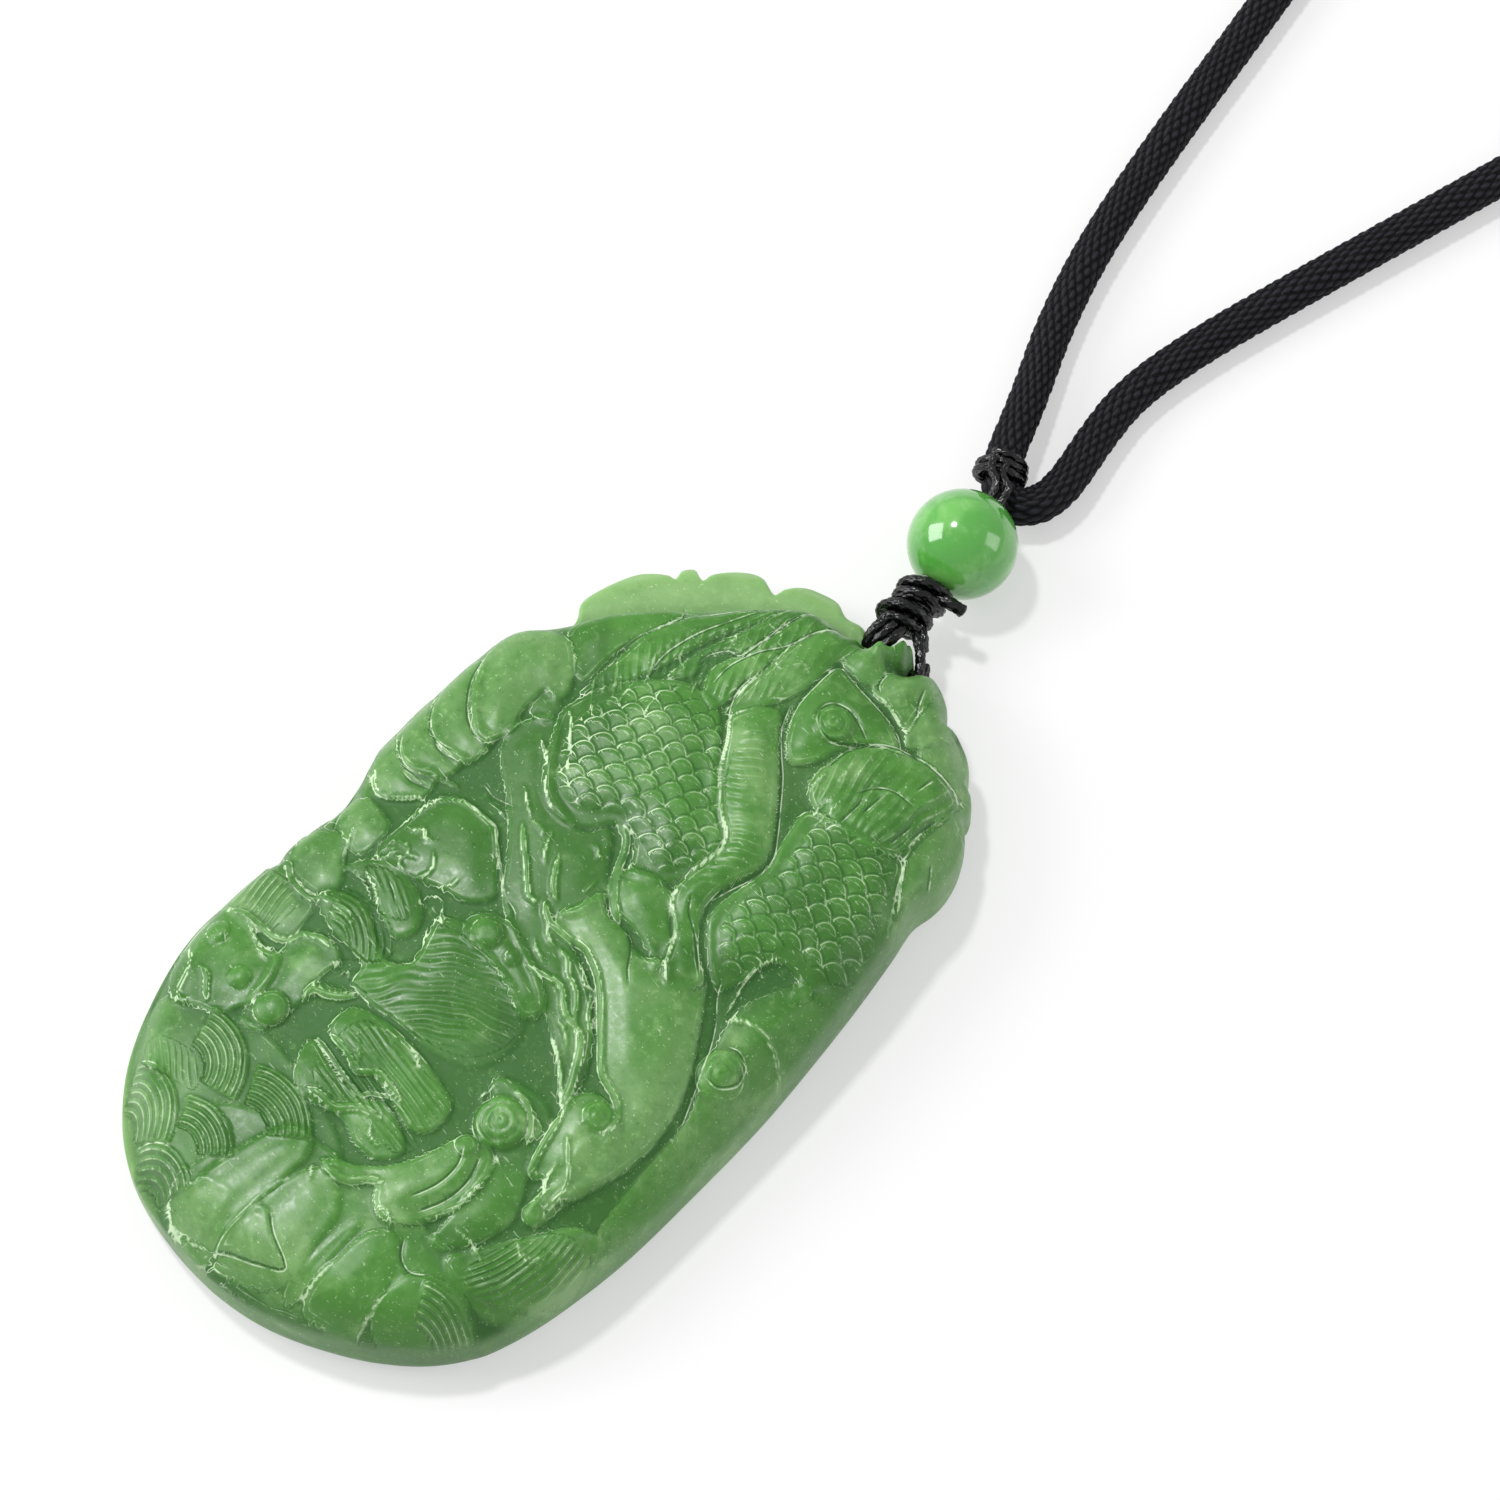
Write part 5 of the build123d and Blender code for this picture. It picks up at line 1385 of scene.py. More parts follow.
STROKES: tuple[Stroke, ...] = tuple(Stroke(row[0], row[1:]) for row in (  # half width, then points
    # crest lobes
    (0, -17.6, 11.5, -17.2, 10, -16.4, 8.6, -15.2, 7.2, -14, 6.4, -13.2, 6.2, -12.5, 6.3),
    (0, -18, 6.9, -17.2, 5.6, -16.2, 4.6, -15, 4.25, -13.8, 4.4),
    (0, -15.6, 4.1, -14.4, 3.8, -13.2, 4),
    (0, -17.9, 3.4, -17, 2.2, -16, 1.5, -15, 1.4, -14, 1.7, -13.3, 2.3),
    (0, -15.8, 1, -14.6, 0.8, -13.8, 1, -13, 1.2),
    (0.2, -17.3, 0, -16.6, -0.9, -15.8, -1.3, -14.9, -1.1, -14, -0.5, -13.2, 0.2, -12.7, 0.2),
    (0.25, -13.4, 2, -12.4, 2.4, -11.6, 2.5),
    # head feathers and mane tips
    (0.16, -9.9, 11.9, -9, 11.2, -8.4, 10.4, -7.7, 9.8),
    (0.18, -9.8, 9, -9, 8.4, -8, 7.7),
    (0.12, -7.4, 9.4, -7, 8.6, -6.4, 8),
    (0.15, -7.5, 7, -6.8, 6.2, -6, 5.6, -5.2, 5.3),
    (0.15, -8.2, 5.5, -7.2, 4.7, -6.2, 4),
    (0.24, -6.2, 3.2, -5, 2, -4, 1.2, -3, 0.2, -2.2, -0.5, -1.5, -0.6),
    (0.15, -4.2, 4, -3.7, 2.8, -3, 2),
    (0.24, -2.6, 3, -2, 2, -1.3, 1, -0.5, 0.5),
    (0.16, -9.2, 3, -8.2, 3, -7.2, 2.7),
    (0, -10.4, 3.8, -9.4, 3.6, -8.6, 3.7, -7.5, 3.8),
    (0.14, -5.8, 3.8, -5, 3.8, -4.4, 3.5),
    # hollow of the jaw and the foam in it
    (0.16, -12.7, -2, -12.4, -0.5, -12, 0.8, -11.2, 1.6, -10, 2, -9, 1.9, -7.6, 1.9, -6.8, 1.2, -6, 0.5,
        -5, -0.3, -4.2, -1, -3.4, -1.8),
    (0, -3.2, -1.7, -2.2, -2, -1.5, -2.6),
    (0.16, -12.3, -2, -11.6, -2, -11.1, -1.5, -10.5, -2, -9.9, -1.7),
    (0.16, -12.2, -3.4, -11.2, -3.2, -10.6, -3.6, -9.9, -3.4),
    (0.14, -12.3, -3.6, -12.2, -4.8),
    (0.14, -11.9, -3.5, -11.7, -4.6, -12, -4.9, -12.6, -5.2),
    (0.16, -11.4, -4.3, -10.9, -4.1, -10.6, -4.6, -9.9, -4.5),
    (0.15, -9.4, -2.4, -8.8, -3, -8.6, -3.8, -9, -4.6),
    (0.12, -6.8, -2.6, -6.7, -3.2, -7.2, -4),
    (0.16, -7.6, -5.8, -7.4, -5, -6.8, -4.6, -6.3, -4.7),
    (0.2, -6.2, -4.8, -5.8, -5.4, -5.3, -5.8, -6, -6),
    (0.12, -5.9, -6.7, -5.6, -7.2, -5.3, -7.9),
    # cheek and moustache
    (0, -17, -3.4, -16.6, -4.6, -16.2, -5.4),
    (0.14, -15.2, -4.3, -14.6, -5.6, -13.6, -7, -12.6, -6.9, -11.2, -7.2, -10.2, -7.8),
    (0.14, -11.6, -6.6, -10.6, -7, -9.6, -7.7),
    (0, -10.4, -5.9, -9.4, -6.4, -8.4, -7.2),
    (0.3, -17.4, -9.6, -16.8, -9.3, -16, -9.9, -15, -10.2, -13.8, -10.3, -13, -9.8, -12.2, -9.6, -11, -9.7,
        -9.9, -10),
    (0.14, -12, -10.4, -11, -10.3, -10, -10.5),
    # beast, pearl and tusk
    (0.28, -17.6, -14.6, -16.4, -14, -15, -14, -13.6, -14.1, -12.6, -13.6, -12.2, -12.6, -11.6, -12.3,
        -10.8, -12, -9.8, -12.1),
    (0.14, -15.8, -14.4, -14.6, -14.9, -13.6, -15, -12.8, -14.4),
    (0.12, -13.8, -15.5, -12.7, -15.6),
    (0, -16.6, -15.9, -15.6, -16.7),
    (0.2, -17.8, -18.2, -17, -18.8, -16.4, -19.8, -16, -21, -15.3, -21.5, -14.9, -21),
    (0.3, -15.9, -18.9, -15, -19.2, -14.4, -19.9, -13.8, -20.4),
    (0.14, -10.7, -17.2, -9.6, -17, -8.7, -17.5),
    (0.14, -9.1, -12.9, -8.5, -12.5),
    (0.14, -8.2, -13.6, -7.8, -12.7, -7.3, -13.2),
    (0.32, -8.7, -16, -8.6, -15.2, -7.6, -14.9, -6.8, -14.4, -6.1, -13.8),
    # jaws
    (0.26, -5.4, -16.9, -4.4, -17, -3.4, -17.2, -2.2, -17.7, -1, -16.9, 0, -16.9, 1.6, -17.3),
    (0.24, -6, -17.6, -4.4, -18, -2.6, -18.5, -0.9, -18.8, -0.4, -18.2, 0.8, -17.6),
    (0.32, -3.8, -20.8, -2.8, -20.6, -1.5, -20.6, -0.8, -20, 0, -19.4, 1.4, -19.1),
    (0.1, -3.9, -15.5, -3.5, -14.8, -2.6, -14.3, -1.4, -14.1),
    (0.1, -3.9, -15.7, -3, -16.6, -2.3, -17.5),
    (0.16, -0.8, -14, 0, -14.2, 0.8, -14.7, 1.4, -14.9),
    (0.14, 1.2, -19.9, 1.8, -20.5, 2.6, -20.6),
    (0.12, 2.6, -21.8, 3, -21.4),
    # tail wave and the flames beside it
    (0.3, -1, -0.2, 0, -0.9, 0.8, -1.1, 2, -1.1, 3.3, -0.9, 4.6, -1.4, 5.6, -2, 6.6, -2.9, 7.8, -4.2,
        8.6, -5, 9.4, -5.9, 10.4, -6.8, 11.6, -7.2, 12.6, -7.7, 13.2, -8.6, 13.4, -9.8),
    (0.22, 2.2, -2.1, 3, -2.2, 3.8, -3, 4.8, -3.4, 5.6, -4.2, 6.4, -5.2),
    (0.2, 4, -1.9, 5.2, -2.7, 6, -2.9, 6.6, -4, 7.4, -4.8, 8, -5.1),
    (0.24, 1.4, -4.4, 2.6, -4.2, 3.6, -3.95, 4.4, -4.2, 5, -4.8, 5.8, -5.3, 6.8, -5.5, 7.5, -6),
    (0.18, 0.2, -1.2, 0.8, -1.8, 1.6, -2.1),
    (0.16, 0.4, -2.7, 1.1, -3.2, 2, -3.4),
    (0.14, 5.4, -5.8, 6.4, -6.2, 7.2, -6.9),
    (0.36, 7.2, -5.5, 8, -6.4, 8.8, -7.8, 9.4, -9, 9.8, -10.2),
    (0.16, 5.8, -7, 7.2, -7.8, 8.4, -8.8, 9.5, -9.9),
    (0.36, -1.2, 7.5, -0.3, 7.3, 0.4, 6.4, 1, 5, 1.7, 3.8, 2.7, 2.8, 3.8, 2.1),
    (0, 4.6, 2.1, 5.4, 1.6, 6, 0.9, 6.6, 0, 7.6, -1),
    (0.14, -1.8, 5.1, -1.2, 5.3, -0.6, 4.9, -0.1, 5.2),
    (0.14, 0.6, 3.4, 0.5, 2.2),
    # strip down the belly
    (0.16, -1.2, 19, 0, 17.4, 1, 15.6, 2.2, 14.2, 3.4, 13, 4.6, 12.2, 5.1, 11.5, 5.3, 10.6, 5, 9.4,
        4.9, 8.4),
    (0.16, 4.9, 7.6, 5.2, 6, 6, 5.2, 6.8, 4.6, 7.4, 3.6, 8, 2.4, 8.6, 1.6, 9.2, 1),
    (0, 1.2, 22.6, 2, 20.8, 3.2, 19.4, 4.6, 18, 6, 16.2, 7.2, 14.6, 8.2, 13, 8.3, 11.4, 7.6, 9.2, 7.2, 7.6),
    (0, 6, 7.2, 6.8, 6, 8, 5.2, 9.4, 4, 10.4, 3),
    (0.14, 13.2, 7.8, 12.8, 6.4, 12.8, 5, 13.1, 3.8, 13.4, 2.4),
    (0, 11.6, 4, 12.2, 2.8, 13.2, 1.6, 14, 0.3, 14.8, -1.4, 15.6, -3.4, 16.5, -5.7),
    # clouds at the right
    (0.2, 13.6, 1.9, 14.6, 2.8, 16, 3.1, 17.6, 2.8, 18.8, 1.9, 19.4, 1),
    (0, 15, 0.7, 16, 1, 17, 0.4, 17.3, -0.9, 16.6, -2, 15.4, -2),
    (0.12, 15.8, -1.5, 16.2, -1.1),
    # plumes
    (0, -12, 21.2, -11.2, 22.4, -10, 23.2, -9, 23.5, -7.6, 24.6, -6.6, 26, -5.4, 27.6, -4.4, 28.8,
        -2.6, 29.8),
    (0, -10.6, 17.5, -10.4, 19.5, -9.6, 21.6, -9, 23.4),
    (0, -7.8, 18.2, -7.9, 20, -7.3, 22.6, -6.2, 25.2, -5.2, 27.4),
    (0, -5.7, 20.6, -5.6, 21.8, -4.8, 22.9, -3.9, 23.2, -3.6, 25, -3.4, 27, -2.9, 29, -2, 29.9),
    (0, -3.8, 20, -3.9, 22, -3.2, 24.2, -2, 26, -1.4, 28, -0.4, 29.6, 0.6, 30.8),
    (0, -2.2, 22.6, -2.2, 20.8, -1.6, 19.4, -1, 18.6),
    (0.12, -8.5, 19.4, -7.9, 18.2, -7.5, 17),
    (0.12, -7.3, 21, -7, 20.2, -6.2, 19.8),
    (0.12, -10, 17, -9.2, 16, -8.4, 14.8),
    (0.1, -10.6, 15.6, -9.8, 14.2, -8.8, 13, -8, 12.4),
    (0.1, -8, 16.4, -7.8, 15.2, -7.6, 14.3),
    (0.1, -6, 17, -5.8, 15.6, -5.5, 14.8),
    (0.1, -5, 19.8, -4.3, 18.4),
    (0.12, -3, 28, -2.2, 27.3),
    (0.12, -3.2, 26.6, -2.8, 26.1),
    (0.12, -1.6, 26.7, -1, 26.4),
    (0.12, -3.7, 25, -3.3, 24.4),
    (0.12, -1.7, 24.4, -0.9, 24.1),
    (0.12, -5.5, 24.3, -4.9, 23.8),
    (0.12, -0.6, 25, 0, 25.5, 0.6, 25.2),
    (0.1, 0, 22, 0.6, 22.6),
    (0.12, -7.7, 27.9, -7.7, 27.1, -7.3, 26.6, -7, 26.7),
    (0, -11.4, 25.3, -10.4, 24.8, -9.4, 24.2),
    (0, -9.4, 25.6, -8.8, 24.8, -8.6, 24.3),
    # ruyi head, its eye and the feathers at the right
    (0, 9, 25.6, 7.6, 26.4, 5, 26.8, 3, 27.1, 1.7, 27.2, 1.5, 25, 1.7, 22.8, 2.4, 20.8),
    (0, 7.2, 24, 6.2, 22.9, 5, 22.2, 3.8, 22.6, 3.1, 23.6, 3.4, 24.6, 4.6, 25, 6, 24.6, 7.1, 24.1),
    (0.12, 5, 24, 5.8, 23.8, 6.6, 23.4),
    (0.16, 5.4, 27.4, 6.6, 27.2, 8.2, 26.6),
    (0, 6.3, 20.5, 6.5, 22.6, 7.4, 24.2, 9, 25.4, 11, 25.9, 13, 26.1, 14.6, 26),
    (0, 9, 20.4, 9.8, 21.8, 11, 22.6, 12.8, 22.7),
    (0.1, 7.5, 22.3, 7.6, 20.5),
    (0.1, 8.2, 22.4, 8.3, 21.2),
    (0.1, 6.6, 20.4, 6.5, 19),
    (0.1, 8.1, 19.6, 8, 17),
    (0.1, 8.8, 19.4, 8.7, 16.8),
    (0, 9.9, 20.8, 9.8, 18),
    (0, 10.6, 22, 10.5, 19.5),
    (0.1, 12, 20, 12.5, 18.6),
    (0, 13.5, 21.6, 13.3, 19.4),
    (0, 14.3, 23.4, 14.1, 20.6),
    (0, 12.2, 25.6, 12, 23.6),
    (0, 16, 20.8, 17.2, 19, 17.9, 17.4, 18.4, 14.6),
    (0.14, 14.7, 19.4, 16, 17.5, 17.4, 15.6),
    (0, 7, 30.4, 7.6, 29, 8.2, 28),
    (0, 4.4, 29.6, 4.6, 28.2, 5.2, 27.6),
    (0.12, 10.2, 28.2, 10.8, 28.5),
    (0.12, 15, 24.5, 15.7, 24.3, 16, 23.8),
    # leg, claws and whiskers
    (0.14, 5.5, -12.2, 5.3, -13.4, 6, -13.6),
    (0.14, 6.3, -13.7, 6.2, -15, 6.8, -15.7),
    (0.26, 6.8, -11.6, 8, -11.7, 9.2, -12.6, 9.9, -13.8),
    (0, 7, -16.8, 7.6, -18.2, 7.5, -20, 6.7, -22),
    (0, 8.2, -16.4, 8.8, -18.4, 8.6, -20.4, 7.7, -22.4),
    (0.12, 9.5, -18, 9.5, -20, 8.8, -21.6),
    (0.3, 0.4, -23.8, 1.6, -24.1, 2.9, -23.8, 3.7, -22.9, 4.6, -22.3),
    (0.14, 0.2, -24.6, 0.9, -25.5),
    (0.12, 5.4, -23.9, 6.2, -23.6, 7.2, -24.3),
    (0.3, 10.2, -10.6, 10.6, -12.4, 11, -14, 11.4, -15.2),
    (0.2, 11.6, -11.6, 12.8, -12.8, 13.8, -14, 14, -15.6, 13.7, -16.6),
    (0.16, 12.3, -13.4, 12.6, -14.8, 13.2, -15.7),
    (0.24, 14, -19.2, 15, -19.6, 15.8, -19.3, 16, -18.2),
    (0.12, 8.8, -15.7, 9.8, -16.2),
    (0, 8.2, -24, 9, -25.2, 10.2, -25.6, 11.4, -24.8),
    (0.14, 10.4, -21.4, 11.8, -21.3, 13.2, -21.8),
    # rocks at the foot
    (0.12, -6.4, -30, -6.3, -31.8, -5.6, -33, -4.4, -33.5, -3, -33.4, -1.4, -33.1),
    (0.12, -0.4, -26.4, -0.9, -29, -1.1, -33),
    (0.14, 5.9, -28.6, 5.8, -31.6),
    (0.14, 9.95, -28, 9.95, -30.6),
    (0, 0.3, -28.8, 1.6, -29.8, 3.8, -31, 2, -32, 0, -32.6, -1, -33),
))

KNOBS: tuple[Knob, ...] = (
    Knob(-9.9, -18.1, 1.35),  # pearl
    Knob(7.6, -13.9, 2, 0.62),  # leg curl
    Knob(16.2, -1.1, 1.9, 0.62),  # cloud curl
    Knob(12.2, -9.1, 1.2, 0.5),  # tail curl
    Knob(-2.4, -4.5, 1.2),  # brow boss
    Knob(4.6, 23.4, 1.45, 0.7),  # ruyi eye
    Knob(-13.2, -17.8, 0.8),  # beast eye
    Knob(-16.9, -16.2, 0.9),  # beast nose
    Knob(7, -16.6, 0.9),  # knee
    Knob(13.4, -17, 0.85),  # tail tip
    Knob(-18.2, -5.2, 1.2),  # left bud 1
    Knob(-18.4, -8.2, 1.1),  # left bud 2
    Knob(0.2, -4.7, 0.6),  # nostril
)

SCALES: tuple[Scales, ...] = (
    Scales(1.95, 20, (-8.6, 14.6, -6.4, 18.2, -1.8, 18.6, 1.1, 15.6, 4.1, 12.3, 5, 10.8, 4.6, 8.4, 3, 6.6,
        0.8, 7.4, -1.8, 8, -3.4, 6.8, -5.6, 6.4, -7.6, 8, -9, 11)),
    Scales(1.95, 12, (8.6, 17.2, 11.8, 18.4, 14.6, 18.6, 16.4, 15.4, 17.8, 12, 17.8, 9.4, 15.4, 8.6,
        13.4, 8.8, 12.6, 5.6, 11, 4.6, 9, 6.4, 8.6, 9.6, 9, 12.4)),
)

HATCHES: tuple[Hatch, ...] = (
    Hatch(Flow.STRAIGHT, 0.55, 0.3, (1, 0.1), (-18.4, -10.4, -14.2, -10.5, -13.9, -12, -14.4, -13.9,
        -18.4, -13.9)),
    Hatch(Flow.STRAIGHT, 0.45, 0.2, (0.66, 0.75), (-15, -24.3, -11, -23.8, -9.8, -25.6, -11, -26.1,
        -14.6, -26.2)),
    Hatch(Flow.RINGS, 0.7, 0.05, (5, -19.5), (-5.4, -6.2, -2, -5.6, 2.6, -6.6, 4.2, -9, 2.8, -12, -1, -13.2,
        -6, -13.2, -9, -12.6, -6.8, -10.8, -5, -9)),
    Hatch(Flow.RINGS, 0.5, 0.07, (-11, -13), (-12.4, -8.2, -9, -7.9, -6.4, -9.4, -7, -11.2, -9.6, -11.4,
        -11.4, -10.8)),
    Hatch(Flow.STRAIGHT, 0.5, 0.06, (0.5, 0.86), (-12.4, -6.2, -10.6, -5.2, -8.2, -5.8, -7.2, -7.2,
        -8.4, -8, -10.4, -7.6)),
    Hatch(Flow.RINGS, 0.42, 0.12, (5, -18), (14.6, -17.6, 17.8, -16, 18.4, -19, 16.6, -22.6, 13.6, -24,
        12.6, -23)),
    Hatch(Flow.RAYS, 2.6, 0.06, (12.5, 5), (6.4, 18.6, 6.4, 22, 8.6, 24.6, 12, 25.8, 14.2, 25.4, 14.3, 19.6,
        11, 18.4, 8, 18.2)),
    Hatch(Flow.RAYS, 1.6, 0.05, (6, 0), (-10.4, 14, -10, 19, -7, 24, -4, 28, 0.4, 30, 1, 27, 0.4, 22.8,
        -2, 19.6, -6.6, 18.4, -8, 15.4)),
    Hatch(Flow.STRAIGHT, 0.5, 0.06, (0.2, 0.98), (-4.4, -14.8, 0, -14.6, 4.2, -15.4, 4.2, -20, 0, -20,
        -4.4, -19.8)),
    Hatch(Flow.STRAIGHT, 0.7, 0.05, (-0.55, 0.83), (0, 19.4, 2.4, 19.2, 7, 13.4, 7.8, 11.6, 7, 8, 5.2, 8.4,
        5.4, 11, 4.6, 12.4, 2, 15)),
)


OUTLINE: Flat = (
    0, -34, 4, -33.4, 8, -31.9, 11.2, -30.1, 13.8, -28, 15.8, -25.4, 17.2, -22, 18.1, -18, 18.7, -13,
    18.9, -6, 18.9, 0, 18.6, 5, 18.1, 10.5, 17.5, 15, 17, 18, 17.3, 20.4, 16.8, 22.8, 15.7, 24.8,
    14.9, 25.3, 14.7, 26.5, 13.9, 27.5, 13.2, 27.7, 12.6, 28.8, 11.6, 29.6, 10.5, 30, 9.4, 29.7,
    8.7, 30.9, 7.4, 31.8, 6, 32.1, 5, 31.7, 4.2, 32.4, 3.1, 33.3, 2.1, 33.5, 1.2, 32.9, 0.4, 32.4,
    -1, 32.9, -2.4, 32.7, -3.7, 33.3, -4.9, 33.2, -6.2, 32.7, -7.1, 31.5, -7.4, 30.6, -8.9, 31.1,
    -9.9, 30.9, -10.9, 30.1, -11.8, 28.9, -12, 28, -13.1, 28.4, -13.7, 27.7, -13.5, 26.8, -14.2, 26.7,
    -15.6, 25.8, -16.3, 24.7, -17.1, 22.2, -17.2, 20.8, -16.5, 19.5, -16.6, 17.6, -17.8, 15.4,
    -18.3, 13, -18.6, 11, -18.7, 8.2, -19, 6, -18.9, 4, -18.9, 2, -18.2, 0.2, -17.9, -1.8, -18, -3.6,
    -18.9, -4.2, -19, -5.4, -18.3, -6.6, -19, -7.4, -18.9, -8.8, -18.5, -10.5, -18.6, -13.5, -18.9, -16,
    -18.6, -19.5, -17.6, -23, -16, -26.6, -13.6, -29.6, -11, -31.6, -8, -32.9, -4, -33.8,
)

BODY_PLATE: Flat = (
    0, -37, 12, -33, 20, -24, 22, 0, 20, 16, 18.8, 21, 17.6, 24, 15.4, 27.4, 13.4, 29.2, 11.4, 30.8,
    9.2, 31.2, 7.4, 33, 5.2, 32.4, 4.8, 30.2, -1.1, 30.2, -3.2, 30.2, -6.2, 28, -8.6, 25.6, -10.4, 24,
    -12.2, 22.4, -14, 20.6, -15.2, 18.6, -16.4, 17, -18.4, 15, -20, 11, -20, 1, -18.6, -0.6, -17.6, -3,
    -18.4, -7, -18.4, -10, -20, -16, -18, -27, -11, -33.6,
)


@dataclass
class Carving:
    """The carving at each of many places: its height and what its finish needs."""

    x: Table
    y: Table
    height: Table
    own: Table
    other: Table
    tone: Table
    phase: Table = field(init=False)
    groove: Table = field(init=False)
    cut: Table = field(init=False)
    cutting: Table = field(init=False)
    twin: Table = field(init=False)
    both: Table = field(init=False)
    firm: Table = field(init=False)
    beside: Table = field(init=False)
    lip: Table = field(init=False)
    soft: float = 0.12

    def __post_init__(self) -> None:
        """Starts with no fine lines and with plain edges."""
        for name in ("phase", "groove", "cutting", "twin", "both", "lip"):
            setattr(self, name, np.zeros(self.height.shape))
        for name in ("cut", "firm", "beside"):
            setattr(self, name, np.ones(self.height.shape))

    def mark(self, place: Table, depth: Table, firm: Table | float = 1.0) -> None:
        """Keeps how deep inside a form's edge its places are, and how plain that edge is."""
        self.own[place] = np.minimum(depth, EDGE_REACH)
        self.other[place] = EDGE_REACH
        self.firm[place] = firm

    def lay(self, near: Table, level: Table, depth: Table, tone: float) -> None:
        """Lays a form over what is there, where it stands higher, with a soft join.

        Args:
            near: the places that the form covers or stands beside.
            level: its height there.
            depth: how deep inside its edge each place is, below 0 outside it.
            tone: how pale it is.
        """
        inside = depth > 0
        place, high = near[inside], level[inside]
        under = self.height[place]
        gap = high - under
        self.height[place] = under + 0.5 * (gap + np.sqrt(gap**2 + self.soft**2)) - 0.2 * self.soft
        shows = gap > 0
        self.mark(place[shows], depth[inside][shows])
        self.tone[place] += np.clip(gap / 0.12 + 0.5, 0, 1) * (tone - self.tone[place])
        beside = ~inside & (level > self.height[near] + 0.02)
        self.other[near[beside]] = np.minimum(self.other[near[beside]], -depth[beside])

    def overlap(self, near: Table, top: Table, depth: Table, step: float, blend: float, tone: float) -> None:
        """Lays a form over all that is there: a low step up at its edge, its own level inside.

        Args:
            near: the places that the form covers or stands beside.
            top: its own level there.
            depth: how deep inside its edge each place is, below 0 outside it.
            step: how far its edge stands over what is there.
            blend: how far inside its edge it reaches its own level.
            tone: how pale it is.
        """
        inside = depth > 0
        place, deep = near[inside], depth[inside]
        share = np.clip(deep / blend, 0, 1)
        share = share * share * (3 - 2 * share)
        firm = np.clip((top - self.height[near]) / 0.4, 0.12, 1)
        step = step * (0.3 + 0.7 * firm[inside])
        outside, away = near[~inside], -depth[~inside]
        closer = away < self.other[outside]
        self.beside[outside[closer]] = firm[~inside][closer]
        self.height[place] += share * (top[inside] - self.height[place])
        self.lip[place] = (1 - share) * (self.lip[place] + step * round_edge(deep, 0.3)) + 0.4 * share * step
        self.mark(place, deep, firm[inside])
        self.tone[place] += np.clip(deep / 0.25, 0, 1) * (tone - self.tone[place])
        self.other[outside] = np.minimum(self.other[outside], away)

    def edges(self) -> tuple[Table, Table]:
        """The distance to the nearest edge, below 0 on its lower side, and how sure that is."""
        rim = np.where(self.own <= self.other, self.own, -self.other)
        return rim, np.clip((0.55 - np.abs(rim)) / 0.1, 0, 1) * self.firm

    def settle(self) -> None:
        """Keeps how plain the step is at the nearer of a place's two edges."""
        self.firm = np.where(self.own <= self.other, self.firm, self.beside)

    def uneven(self, near: Table, size: float, other: int = 0) -> Table:
        """The hand's unevenness at some places, of one size and one of several kinds."""
        return lumps(self.x[near], self.y[near], size, SEED + other)

    def within(self, points: Flat, spare: float) -> tuple[Table, Table, Table]:
        """The places in and beside a closed form.

        Args:
            points: the form's points.
            spare: how far beside it places still count.

        Returns:
            The form's smooth outline, the places' numbers, and how deep inside it they are.
        """
        loop = smooth_line(points, True)
        near = close_to(self.x, self.y, loop, spare)
        return loop, near, depth_inside(self.x[near], self.y[near], loop)

    def carve_fans(self, base: Table) -> None:
        """Carves the waves' overlapping scallops, each over the last, on the broad forms' height.

        Args:
            base: the broad forms' height.
        """
        for fan in FANS:
            across, along = self.x - fan.x, self.y - fan.y
            away = np.hypot(across, along)
            ring = (away < fan.outer + EDGE_REACH) & (away > fan.inner - EDGE_REACH)
            near = np.flatnonzero(ring & (self.height > 3.2))
            turn = np.degrees(np.arctan2(along[near], across[near])) - fan.way
            turn = np.abs((turn + 180) % 360 - 180)
            side = (fan.spread - turn) * math.tau / 360 * away[near]
            depth = np.minimum(fan.outer - away[near], np.minimum(side, away[near] - fan.inner))
            rise = 0.3 * round_edge(depth, 0.5) * np.clip((away[near] - fan.inner) / 2, 0, 1)
            inside = depth > 0
            place = near[inside]
            self.height[place] = base[place] + rise[inside]
            self.mark(place, (fan.outer - away[near])[inside])
            lines = (fan.outer - away[near]) / 0.5 + 0.15 * self.uneven(near, 3.0)
            self.phase[place] = lines[inside]
            self.groove[place] = np.clip(depth[inside] / 0.25, 0, 1)

